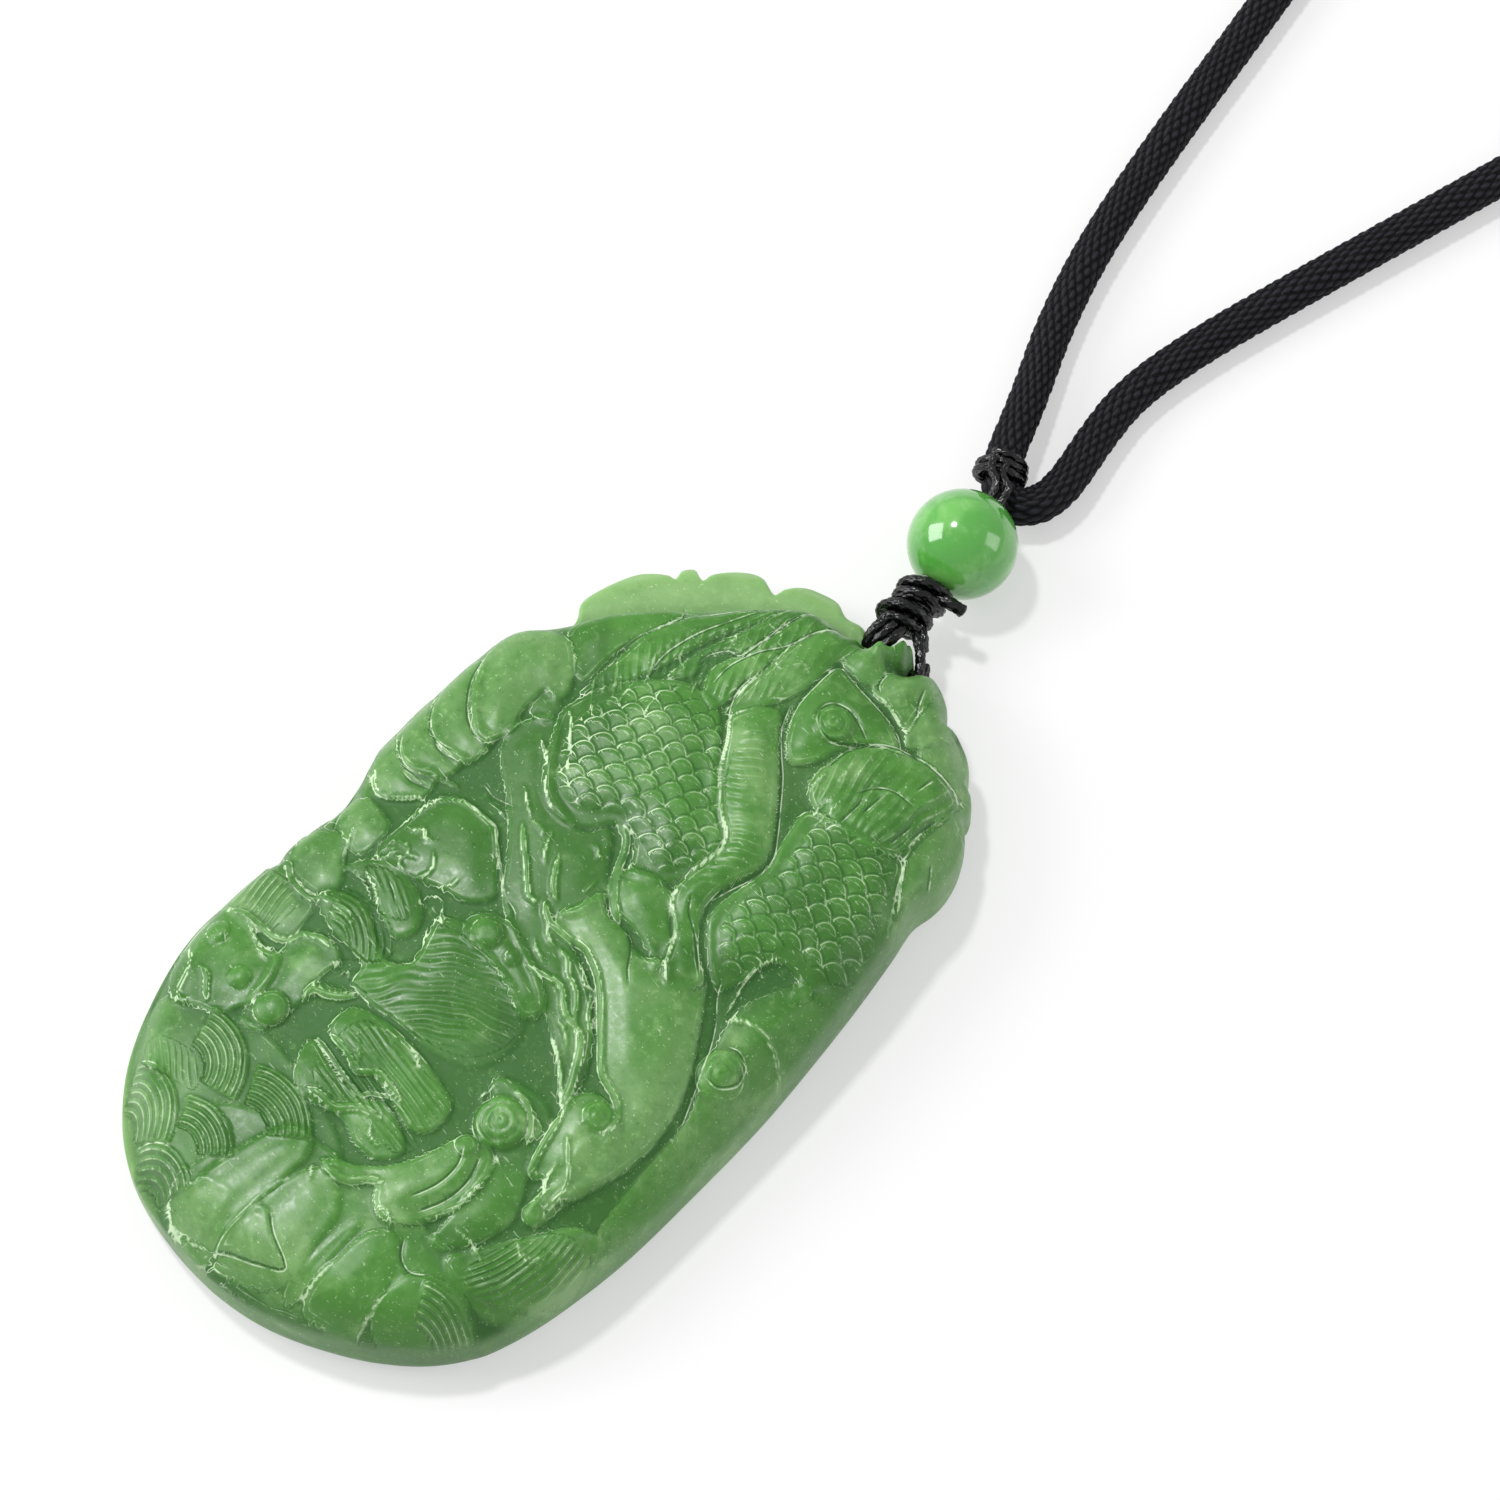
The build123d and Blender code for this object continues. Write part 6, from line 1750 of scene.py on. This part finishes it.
    def carve_scales(self) -> None:
        """Carves rows of low overlapping scales, each with a cut at its root that the finish paints bright as
        a highlight.
        """
        for patch in SCALES:
            _, near, depth = self.within(patch.points, 0.1)
            fade = np.clip(depth / 0.5, 0, 1)
            px, py = self.x[near], self.y[near]
            turn = math.radians(patch.turn)
            u = (px * math.cos(turn) + py * math.sin(turn)) / patch.size
            v = (-px * math.sin(turn) + py * math.cos(turn)) / (patch.size * 0.5)
            u, v = u + 0.22 * self.uneven(near, 6.0), v + 0.3 * self.uneven(near, 6.5, 1)
            relief = np.full(px.shape, -0.1)
            own, other = np.full(px.shape, EDGE_REACH), np.full(px.shape, EDGE_REACH)
            found = np.zeros(px.shape, bool)
            for back in (2, 1, 0):
                row = np.floor(v) - back
                shift = 0.5 * (row % 2)
                for beside in (0, -1, 1):
                    column = np.rint(u - shift) + beside
                    du = u - shift - column
                    dv = (v - row) * 0.5
                    away = np.hypot(du / 0.56, (dv - 0.35) / 0.7)
                    depth = (1 - away) * patch.size * 0.6
                    inside = (away < 1) & ~found
                    slope = 0.2 * (dv - 0.35) + 0.05 - 0.16 * (1 - round_edge(depth, 0.22))
                    relief = np.where(inside, slope, relief)
                    own = np.where(inside, np.clip(depth, 0, EDGE_REACH), own)
                    closer = np.minimum(other, np.clip(-depth, 0, EDGE_REACH))
                    other = np.where((away >= 1) & ~found, closer, other)
                    found |= inside
            self.height[near] += relief * fade
            kept = fade > 0.3
            self.own[near[kept]], self.other[near[kept]], self.firm[near[kept]] = own[kept], other[kept], 1.0
            # scales carry the second painted highlight line
            self.twin[near] = np.maximum(fade, self.twin[near] * (1 - fade))
            self.both[near] = 0.0

    def incise(self, near: Table, away: Table, place: Table, line: Table, ends: Table) -> None:
        """Cuts one thin line, and keeps which side of it each place lies on, so that the finish paints one
        lip bright as a highlight and the other dark as shade.

        Args:
            near: the numbers of the places beside the line.
            away: how far from it they are.
            place: where along its list of points they are.
            line: its points.
            ends: how far from its ends they are, 0 to 1.
        """
        index = np.clip(place.astype(int), 0, len(line) - 2)
        run = (line[1:] - line[:-1])[index]
        off = np.column_stack([self.x[near], self.y[near]]) - line[index]
        side = np.sign(run[:, 0] * off[:, 1] - run[:, 1] * off[:, 0])
        sure = np.clip((0.42 - away) / 0.12, 0, 1) * ends
        self.height[near] -= 0.12 * np.exp(-((away / 0.16) ** 2)) * ends
        nearer = (sure > 0) & (away < np.abs(self.cut[near]))
        self.cut[near[nearer]] = (side * away)[nearer]
        self.cutting[near[nearer]] = sure[nearer]

    def engrave(self, hatch: Hatch) -> None:
        """Sets the phase and the depth of the fine lines in one field.

        Args:
            hatch: the field.
        """
        _, near, depth = self.within(hatch.points, 0.1)
        px, py = self.x[near], self.y[near]
        across, along = px - hatch.at[0], py - hatch.at[1]
        if hatch.flow is Flow.STRAIGHT:
            lines = (px * hatch.at[0] + py * hatch.at[1]) / math.hypot(*hatch.at)
        elif hatch.flow is Flow.RINGS:
            lines = np.hypot(across, along)
        else:
            lines = np.degrees(np.arctan2(along, across))
        lines = lines / hatch.spacing
        inside = depth > 0
        self.phase[near[inside]] = (lines + 0.3 * self.uneven(near, 3.0))[inside]
        patchy = np.clip(0.5 + 1.1 * self.uneven(near, 4.0, 5), 0, 1)
        strength = np.clip(depth / 0.6, 0, 1) * min(hatch.depth * 13, 1.0) * (0.35 + 0.65 * patchy)
        self.groove[near[inside]] = strength[inside]


@dataclass
class Layout:
    """The broad forms on an even grid, softened as hand polishing softens them."""

    step: float = 0.14
    low: tuple[float, float] = (-21.0, -36.0)
    high: tuple[float, float] = (21.0, 36.0)
    tables: dict[str, Table] = field(default_factory=dict)

    def places(self) -> tuple[Table, Table]:
        """The grid's places across and along."""
        return np.meshgrid(*(np.arange(a, b, self.step) for a, b in zip(self.low, self.high)))

    def keep(self, name: str, values: Table, reach: float) -> None:
        """Keeps a table, softened over some millimetres."""
        self.tables[name] = self.soften(values, reach)

    def soften(self, values: Table, reach: float) -> Table:
        """The values of the grid's places as a table, blurred over some millimetres each way.

        Args:
            values: one value for each place.
            reach: how far they are blurred.

        Returns:
            The blurred table.
        """
        table, steps = values.reshape(self.places()[0].shape), reach / self.step
        if steps <= 0:
            return table
        span = int(3 * steps) + 1
        weight = np.exp(-((np.arange(-span, span + 1) / steps) ** 2) / 2)
        weight /= weight.sum()
        for _ in range(2):
            wide = np.pad(table, ((span, span), (0, 0)), mode="edge")
            total = sum(w * wide[k : k + len(table)] for k, w in enumerate(weight))
            table = total.T
        return table

    def look_up(self, name: str, x: Table, y: Table) -> Table:
        """A table's values between its grid's places.

        Args:
            name: the table's name.
            x: places across.
            y: places along.

        Returns:
            The value at each place.
        """
        table = self.tables[name]
        column = np.clip((x - self.low[0]) / self.step, 0, table.shape[1] - 1.001)
        row = np.clip((y - self.low[1]) / self.step, 0, table.shape[0] - 1.001)
        c, r = column.astype(int), row.astype(int)
        u, v = column - c, row - r
        first = table[r, c] * (1 - u) + table[r, c + 1] * u
        second = table[r + 1, c] * (1 - u) + table[r + 1, c + 1] * u
        return first * (1 - v) + second * v

    def read(self, x: Table, y: Table) -> Carving:
        """The softened forms at other places.

        Args:
            x: places across.
            y: places along.

        Returns:
            The carving there.
        """
        *given, firm = (self.look_up(name, x, y) for name in ("height", "own", "other", "tone", "firm"))
        made = Carving(x, y, *given)
        made.firm = firm
        return made


@dataclass
class Pendant:
    """The carved pendant: a flat-backed jade block with a dragon among clouds and waves."""

    thickness: float = 10.4
    thinnest: float = 1.2
    rim_thickness: float = 3.2
    relief: float = 1.0
    wide_soft: float = 1.7
    close_soft: float = 0.5
    side_fall: float = 2.2
    end_fall: float = 1.8
    shoulder: float = 3.6
    inset: float = 0.5
    wall: tuple[tuple[float, float], ...] = (
        (0.22, 0.93), (0.06, 0.82), (0.0, 0.66), (0.0, 0.5),
        (0.0, 0.34), (0.06, 0.22), (0.3, 0.1), (0.65, 0.03),
    )
    back_round: float = 1.1
    hole_radius: float = 0.9
    hole_length: float = 8.0
    spine: tuple[float, float] = (-15.0, 14.4)
    side_rows: int = 150
    cap_rows: int = 270
    rings: int = 104
    flatness: float = 0.36
    crown: float = 0.14
    fill: float = 0.06
    line_rise: float = 0.3
    line_fade: float = 0.6
    line_side: float = 0.3
    thin_tone: float = 0.95
    step_height: float = 0.12
    lit_from: tuple[float, float] = (-0.9, -0.43)
    layout: Layout = field(default_factory=Layout)

    def prepare(self) -> None:
        """Lays the broad forms once, on the even grid."""
        x, y = self.layout.places()
        made = self.forms(x.ravel(), y.ravel())
        made.settle()
        for name, soft in (("height", 0.1), ("own", 0.0), ("other", 0.0), ("tone", 0.3), ("firm", 0.1)):
            self.layout.keep(name, getattr(made, name), soft)

    def from_spine(self, x: Table, y: Table) -> tuple[Table, Table]:
        """How far each place lies beyond the spine's ends, and how far from the spine."""
        over = y - np.clip(y, *self.spine)
        return over, np.maximum(np.hypot(x, over), 1e-6)

    def dome(self, x: Table, y: Table) -> Table:
        """Height of the uncarved front over the back.

        Args:
            x: places across.
            y: places along.

        Returns:
            The height at each place.
        """
        half_width, half_length, edge = 19, 33.7, 19.4
        fall = self.side_fall * (x / half_width) ** 2, self.end_fall * (y / half_length) ** 2
        dome = self.thickness - fall[0] - fall[1]
        over, reach = self.from_spine(x, y)
        crest = np.clip(((0.66 * over - 0.75 * x) / reach + 0.2) / 0.8, 0, 1)
        band = self.shoulder * (1 - 0.45 * crest)
        falls = np.clip((reach - (edge - band)) / (band + 0.3), 0, 1)
        return dome * (1 - 0.95 * (1 - np.sqrt(1 - falls**2)))

    def forms(self, x: Table, y: Table) -> Carving:
        """Lays the broad forms over each other, each a low step with a gentle crown.

        Args:
            x: places across, in millimetres.
            y: places along.

        Returns:
            The carving so far.
        """
        dome = self.dome(x, y)
        ground = dome - self.relief
        _, reach = self.from_spine(x, y)
        leaf = self.rim_thickness * (0.55 + 0.45 * round_edge(np.clip(19.2 - reach, 0, 9), 1.6))
        plate = depth_inside(x, y, smooth_line(BODY_PLATE, True))
        floor = 0.45 * ground
        rise = floor + (ground - floor) * round_edge(plate, 1.0)
        made = Carving(
            x,
            y,
            np.where(plate > 0, np.maximum(leaf, rise), leaf),
            np.where(plate > 0, np.minimum(plate, EDGE_REACH), EDGE_REACH),
            np.where(plate > 0, EDGE_REACH, np.minimum(-plate, EDGE_REACH)),
            np.where(plate > 0, 0.0, 1.0),
        )
        for pad in sorted(PADS, key=lambda pad: pad.top):
            loop, near, depth = made.within(pad.points, EDGE_REACH)
            away = np.column_stack([x[near], y[near]]) - loop.mean(0)
            top = dome[near] + pad.top * self.flatness + away @ np.array(pad.lean) * 0.5
            top = top - self.crown * pad.drop * (1 - round_edge(depth, pad.edge * 1.7))
            step, blend = self.step_height * pad.drop + 0.07, 0.4 + 0.8 * pad.edge
            made.overlap(near, top, depth, step, blend, pad.tone)
        wide = self.layout.soften(made.height, self.wide_soft).ravel()
        gap = wide - self.fill - made.height
        filled = made.height + 0.5 * (gap + np.sqrt(gap**2 + 0.1**2)) - 0.02
        made.height += np.clip(plate, 0, 1) * (filled - made.height)
        smooth = self.layout.soften(made.height, self.close_soft).ravel()
        made.height += np.clip(plate / 0.6, 0, 1) * (smooth - made.height) + made.lip
        return made

    def front(self, x: Table, y: Table) -> Carving:
        """The carved front: the softened forms with all the fine work on them.

        Args:
            x: places across, in millimetres.
            y: places along.

        Returns:
            The carving at each place.
        """
        made = self.layout.read(x, y)
        base = made.height.copy()
        patchy = np.clip(0.45 + 1.3 * lumps(x, y, 3.5, SEED + 7), 0, 1)
        # the second painted highlight line along edges, in patches and not on the palest forms
        made.twin = patchy * (made.tone < self.thin_tone)
        made.carve_fans(base)
        made.carve_scales()
        for stroke in STROKES:
            line = smooth_line(stroke.points, False)
            near = close_to(x, y, line, 1.0)
            away, place = nearest_on_line(x[near], y[near], line)
            run = float(np.hypot(*np.diff(line, axis=0).T).mean())
            ends = np.clip(np.minimum(place, len(line) - 1 - place) * run / self.line_fade, 0, 1)
            # beside every line the painted highlights show, whichever way it faces the light
            if stroke.half:
                half = stroke.half * (0.45 + 0.55 * ends)
                round_top = np.sqrt(1 - np.clip(away / half, 0, 1) ** 2)
                rise = self.line_rise * (half * 2.2) * round_top
                made.lay(near, made.height[near] + rise, half - away, 0.5)
                made.both[near[away < half + self.line_side]] = 1.0
            else:
                made.incise(near, away, place, line, ends)
                made.both[near[away < self.line_side]] = 1.0
        for knob in KNOBS:
            away = np.hypot(x - knob.x, y - knob.y)
            near = np.flatnonzero(away < knob.radius + 0.6)
            away = away[near]
            share = np.sqrt(np.clip(1 - (away / knob.radius) ** 2, 0, 1))
            level = base[near] + 0.42 * knob.radius * (share - 0.15)
            if knob.rings:
                level = level - 0.08 * np.cos(math.tau * away / knob.rings)
            made.lay(near, level, knob.radius - away, 0.1)
        for hatch in HATCHES:
            made.engrave(hatch)
        made.height = np.clip(made.height, self.thinnest, self.thickness)
        return made

    def rays(self) -> tuple[Table, Table]:
        """Feet on the middle line and directions out of them, anticlockwise.

        Returns:
            The feet and the directions, the first repeated at the end.
        """
        low, high = self.spine
        up = np.linspace(low, high, self.side_rows, endpoint=False)
        cap = np.linspace(0, math.pi, self.cap_rows, endpoint=False)
        still = np.zeros(self.cap_rows)
        feet = np.concatenate([up, still + high, (low + high) - up, still + low, up[:1]])
        turns = np.concatenate([0 * up, cap, 0 * up + math.pi, math.pi + cap, [0.0]])
        return np.column_stack([0 * feet, feet]), np.column_stack([np.cos(turns), np.sin(turns)])

    def reach(self, feet: Table, ways: Table) -> Table:
        """How far each ray goes before it last crosses the outline.

        Args:
            feet: where the rays start.
            ways: their directions.

        Returns:
            The distances.
        """
        start = smooth_line(OUTLINE, True, 5)
        run = np.roll(start, -1, axis=0) - start
        found = []
        for foot, way in zip(feet, ways):
            offset = start - foot
            cross = way[0] * run[:, 1] - way[1] * run[:, 0]
            cross = np.where(abs(cross) < 1e-12, 1e-12, cross)
            ray = (offset[:, 0] * run[:, 1] - offset[:, 1] * run[:, 0]) / cross
            edge = (offset[:, 0] * way[1] - offset[:, 1] * way[0]) / cross
            found.append(ray[(edge >= 0) & (edge <= 1) & (ray > 0)].max())
        return np.array(found)

    def build(self) -> Piece:
        """Carves the block and drills its thread hole.

        Returns:
            The piece.
        """
        self.prepare()
        feet, ways = self.rays()
        reach = self.reach(feet, ways)
        levels = []
        for ring in range(self.rings + 1):
            places = feet + ways * ((ring / self.rings) * (reach - self.inset))[:, None]
            height = self.front(places[:, 0], places[:, 1]).height
            levels.append(np.column_stack([places, height]))
        top = levels[-1][:, 2]
        for inset, share in (*self.wall, (self.back_round, 0.0)):
            places = feet + ways * (reach - inset)[:, None]
            levels.append(np.column_stack([places, share * top]))
        for share in (0.66, 0.33, 0.0):
            places = feet + ways * (share * (reach - self.back_round))[:, None]
            levels.append(np.column_stack([places, np.zeros(len(places))]))
        piece = shaped_grid("carved_pendant", np.array(levels)[::-1], (0.18, 0.04))
        self.drill(piece)
        self.paint(piece)
        return piece

    def drill(self, piece: Piece) -> None:
        """Cuts the thread hole across the ear.

        Args:
            piece: the carved pendant.
        """
        deselect()
        bpy.ops.mesh.primitive_cylinder_add(
            vertices=40, radius=self.hole_radius * MM, depth=self.hole_length * MM,
            location=tuple(value * MM for value in THREAD_HOLE), rotation=(0, math.radians(90), 0),
        )
        drill = named("drill")
        bpy.context.view_layer.objects.active = piece
        cut = piece.modifiers.new("hole", "BOOLEAN")
        cut.operation, cut.object, cut.solver = "DIFFERENCE", drill, "EXACT"
        bpy.ops.object.modifier_apply(modifier=cut.name)
        bpy.data.objects.remove(drill)

    def paint(self, piece: Piece) -> None:
        """Keeps what the finish needs at each vertex: hollows for painted shade, edges and fine lines for
        painted highlights and painted shade, and thin edges.

        Args:
            piece: the carved pendant.
        """
        layout = self.layout
        x, y, z = vertices_of(piece.data).astype(float).T / MM
        made = self.front(x, y)
        height = made.height
        on_front = np.clip(1 - (height - z) / 0.6, 0, 1)
        across, along = layout.places()
        whole = self.front(across.ravel(), along.ravel()).height
        layout.keep("near", whole, 0.4)
        layout.keep("wide", whole, 1.5)
        near, wide = (layout.look_up(name, x, y) for name in ("near", "wide"))
        rim, sure = made.edges()
        # how far each slope faces the light, which sets the strength of the painted highlights
        slope_y, slope_x = np.gradient(layout.soften(whole, 0.8 * layout.step), layout.step)
        facing = -(slope_x * self.lit_from[0] + slope_y * self.lit_from[1])
        layout.keep("facing", facing / (0.2 + np.hypot(slope_x, slope_y)), 0.1)
        # places sunk below the dome get more painted shade in the hollows
        sunk = np.clip((self.dome(x, y) - height - 0.5) / 0.5, 0, 1) * np.clip((height - 4.4) / 0.5, 0, 1)
        # cavity sets the painted shade in the hollows; rim, sure, facing, twin, cut and cutting set the
        # painted highlights and painted shade along edges and lines
        numbers = {
            "cavity": ((height - near) * 1.2 + (height - wide) * 0.6 - sunk * 0.4) * on_front,
            "rim": rim,
            "sure": sure * on_front,
            "facing": np.maximum(layout.look_up("facing", x, y), made.both * 0.35),
            "twin": made.twin * sure * on_front,
            "cut": made.cut,
            "cutting": made.cutting * on_front,
            "tone": made.tone,
            "phase": made.phase,
            "groove": made.groove * on_front,
            "thin": np.clip((4.4 - height) / 1.6, 0, 1),
        }
        for name, values in numbers.items():
            keep_numbers(piece, name, values)


# ---- camera, lights and floor ----
@dataclass
class Studio:
    """The pale floor, the soft lights and the camera at the photograph's angle."""

    azimuth: float = 42.0
    elevation: float = 65.0
    distance: float = 0.45
    aim: tuple[float, float, float] = (-0.0004, 0.0202, 0.003)
    lens: float = 153.2
    sky: float = 0.62

    def camera(self) -> None:
        """Adds the camera and makes it the scene's own."""
        a, e = math.radians(self.azimuth), math.radians(self.elevation)
        look = Vector((-math.sin(a) * math.cos(e), math.cos(a) * math.cos(e), -math.sin(e)))
        view = bpy.data.cameras.new("camera")
        view.lens = self.lens
        view.sensor_width = 36.0
        view.sensor_fit = "HORIZONTAL"
        view.clip_start, view.clip_end = 0.01, 20.0
        camera = bpy.data.objects.new("camera", view)
        camera.location = Vector(self.aim) - look * self.distance
        camera.rotation_euler = look.to_track_quat("-Z", "Y").to_euler()
        bpy.context.scene.collection.objects.link(camera)
        bpy.context.scene.camera = camera

    def light(
        self, name: str, way: tuple[float, float, float], far: float, size: tuple[float, float], power: float
    ) -> None:
        """Adds a soft panel of light that faces the pendant.

        Args:
            name: the light's name.
            way: the direction that it stands in.
            far: how far away it is, in metres.
            size: its width and height.
            power: its power in watts.
        """
        panel = bpy.data.lights.new(name, "AREA")
        panel.shape = "RECTANGLE"
        panel.size, panel.size_y = size
        panel.energy = power
        lamp = bpy.data.objects.new(name, panel)
        stand = Vector(way).normalized()
        lamp.location = Vector(self.aim) + stand * far
        lamp.rotation_euler = (-stand).to_track_quat("-Z", "Y").to_euler()
        bpy.context.scene.collection.objects.link(lamp)

    def build(self) -> None:
        """Adds the floor, the sky and the lights."""
        deselect()
        bpy.ops.mesh.primitive_plane_add(size=6.0, location=(0, 0, -0.00005))
        floor = named("floor")
        place_mesh()
        floor.data.materials.append(PaleFloor().material())
        world = bpy.data.worlds.new("studio")
        world.use_nodes = True
        sky = world.node_tree.nodes["Background"]
        sky.inputs["Color"].default_value = (1, 1, 1, 1)
        sky.inputs["Strength"].default_value = self.sky
        bpy.context.scene.world = world
        bpy.context.scene.view_settings.view_transform = "Standard"
        self.light("key", (-0.44, 0.02, 1.0), 1.3, (0.12, 0.12), 9.0)
        self.light("softbox", (-0.74, -0.42, 0.54), 0.75, (0.42, 0.42), 3.4)
        self.light("fill", (0.76, 0.55, 0.45), 0.9, (0.4, 0.5), 1.2)


def main() -> None:
    """Builds the necklace piece by piece."""
    logging.basicConfig(level=logging.INFO, format="%(name)s: %(message)s")
    studio = Studio()
    studio.camera()
    braid = Yarn("braided_yarn").material()
    waxed = Yarn("waxed_thread", lit="0e0e12", roughness=0.22, fibres=3500.0, shine=0.4).material()
    wound = Yarn("sleeve_thread", fibres=4000.0).material()
    closure = Closure().build()
    dress(closure, wound, "sleeve", "closure")
    for side in Side:
        cord = NeckCord(side)
        piece = cord.build()
        dress(piece, braid, "braid", side.value)
    pendant = Pendant().build()
    dress(pendant, CarvedJade().material(), "jade", "pendant")
    bead = Bead().build()
    dress(bead, PolishedJade().material(), "bead_jade", "bead")
    dress(WrapKnot().build(), waxed, "thread", "wrap_knot")
    dress(HangingLoop().build(), waxed, "thread", "pendant_thread")
    dress(FoldBinding().build(), waxed, "thread", "bead_thread")
    studio.build()


if __name__ == "__main__":
    main()
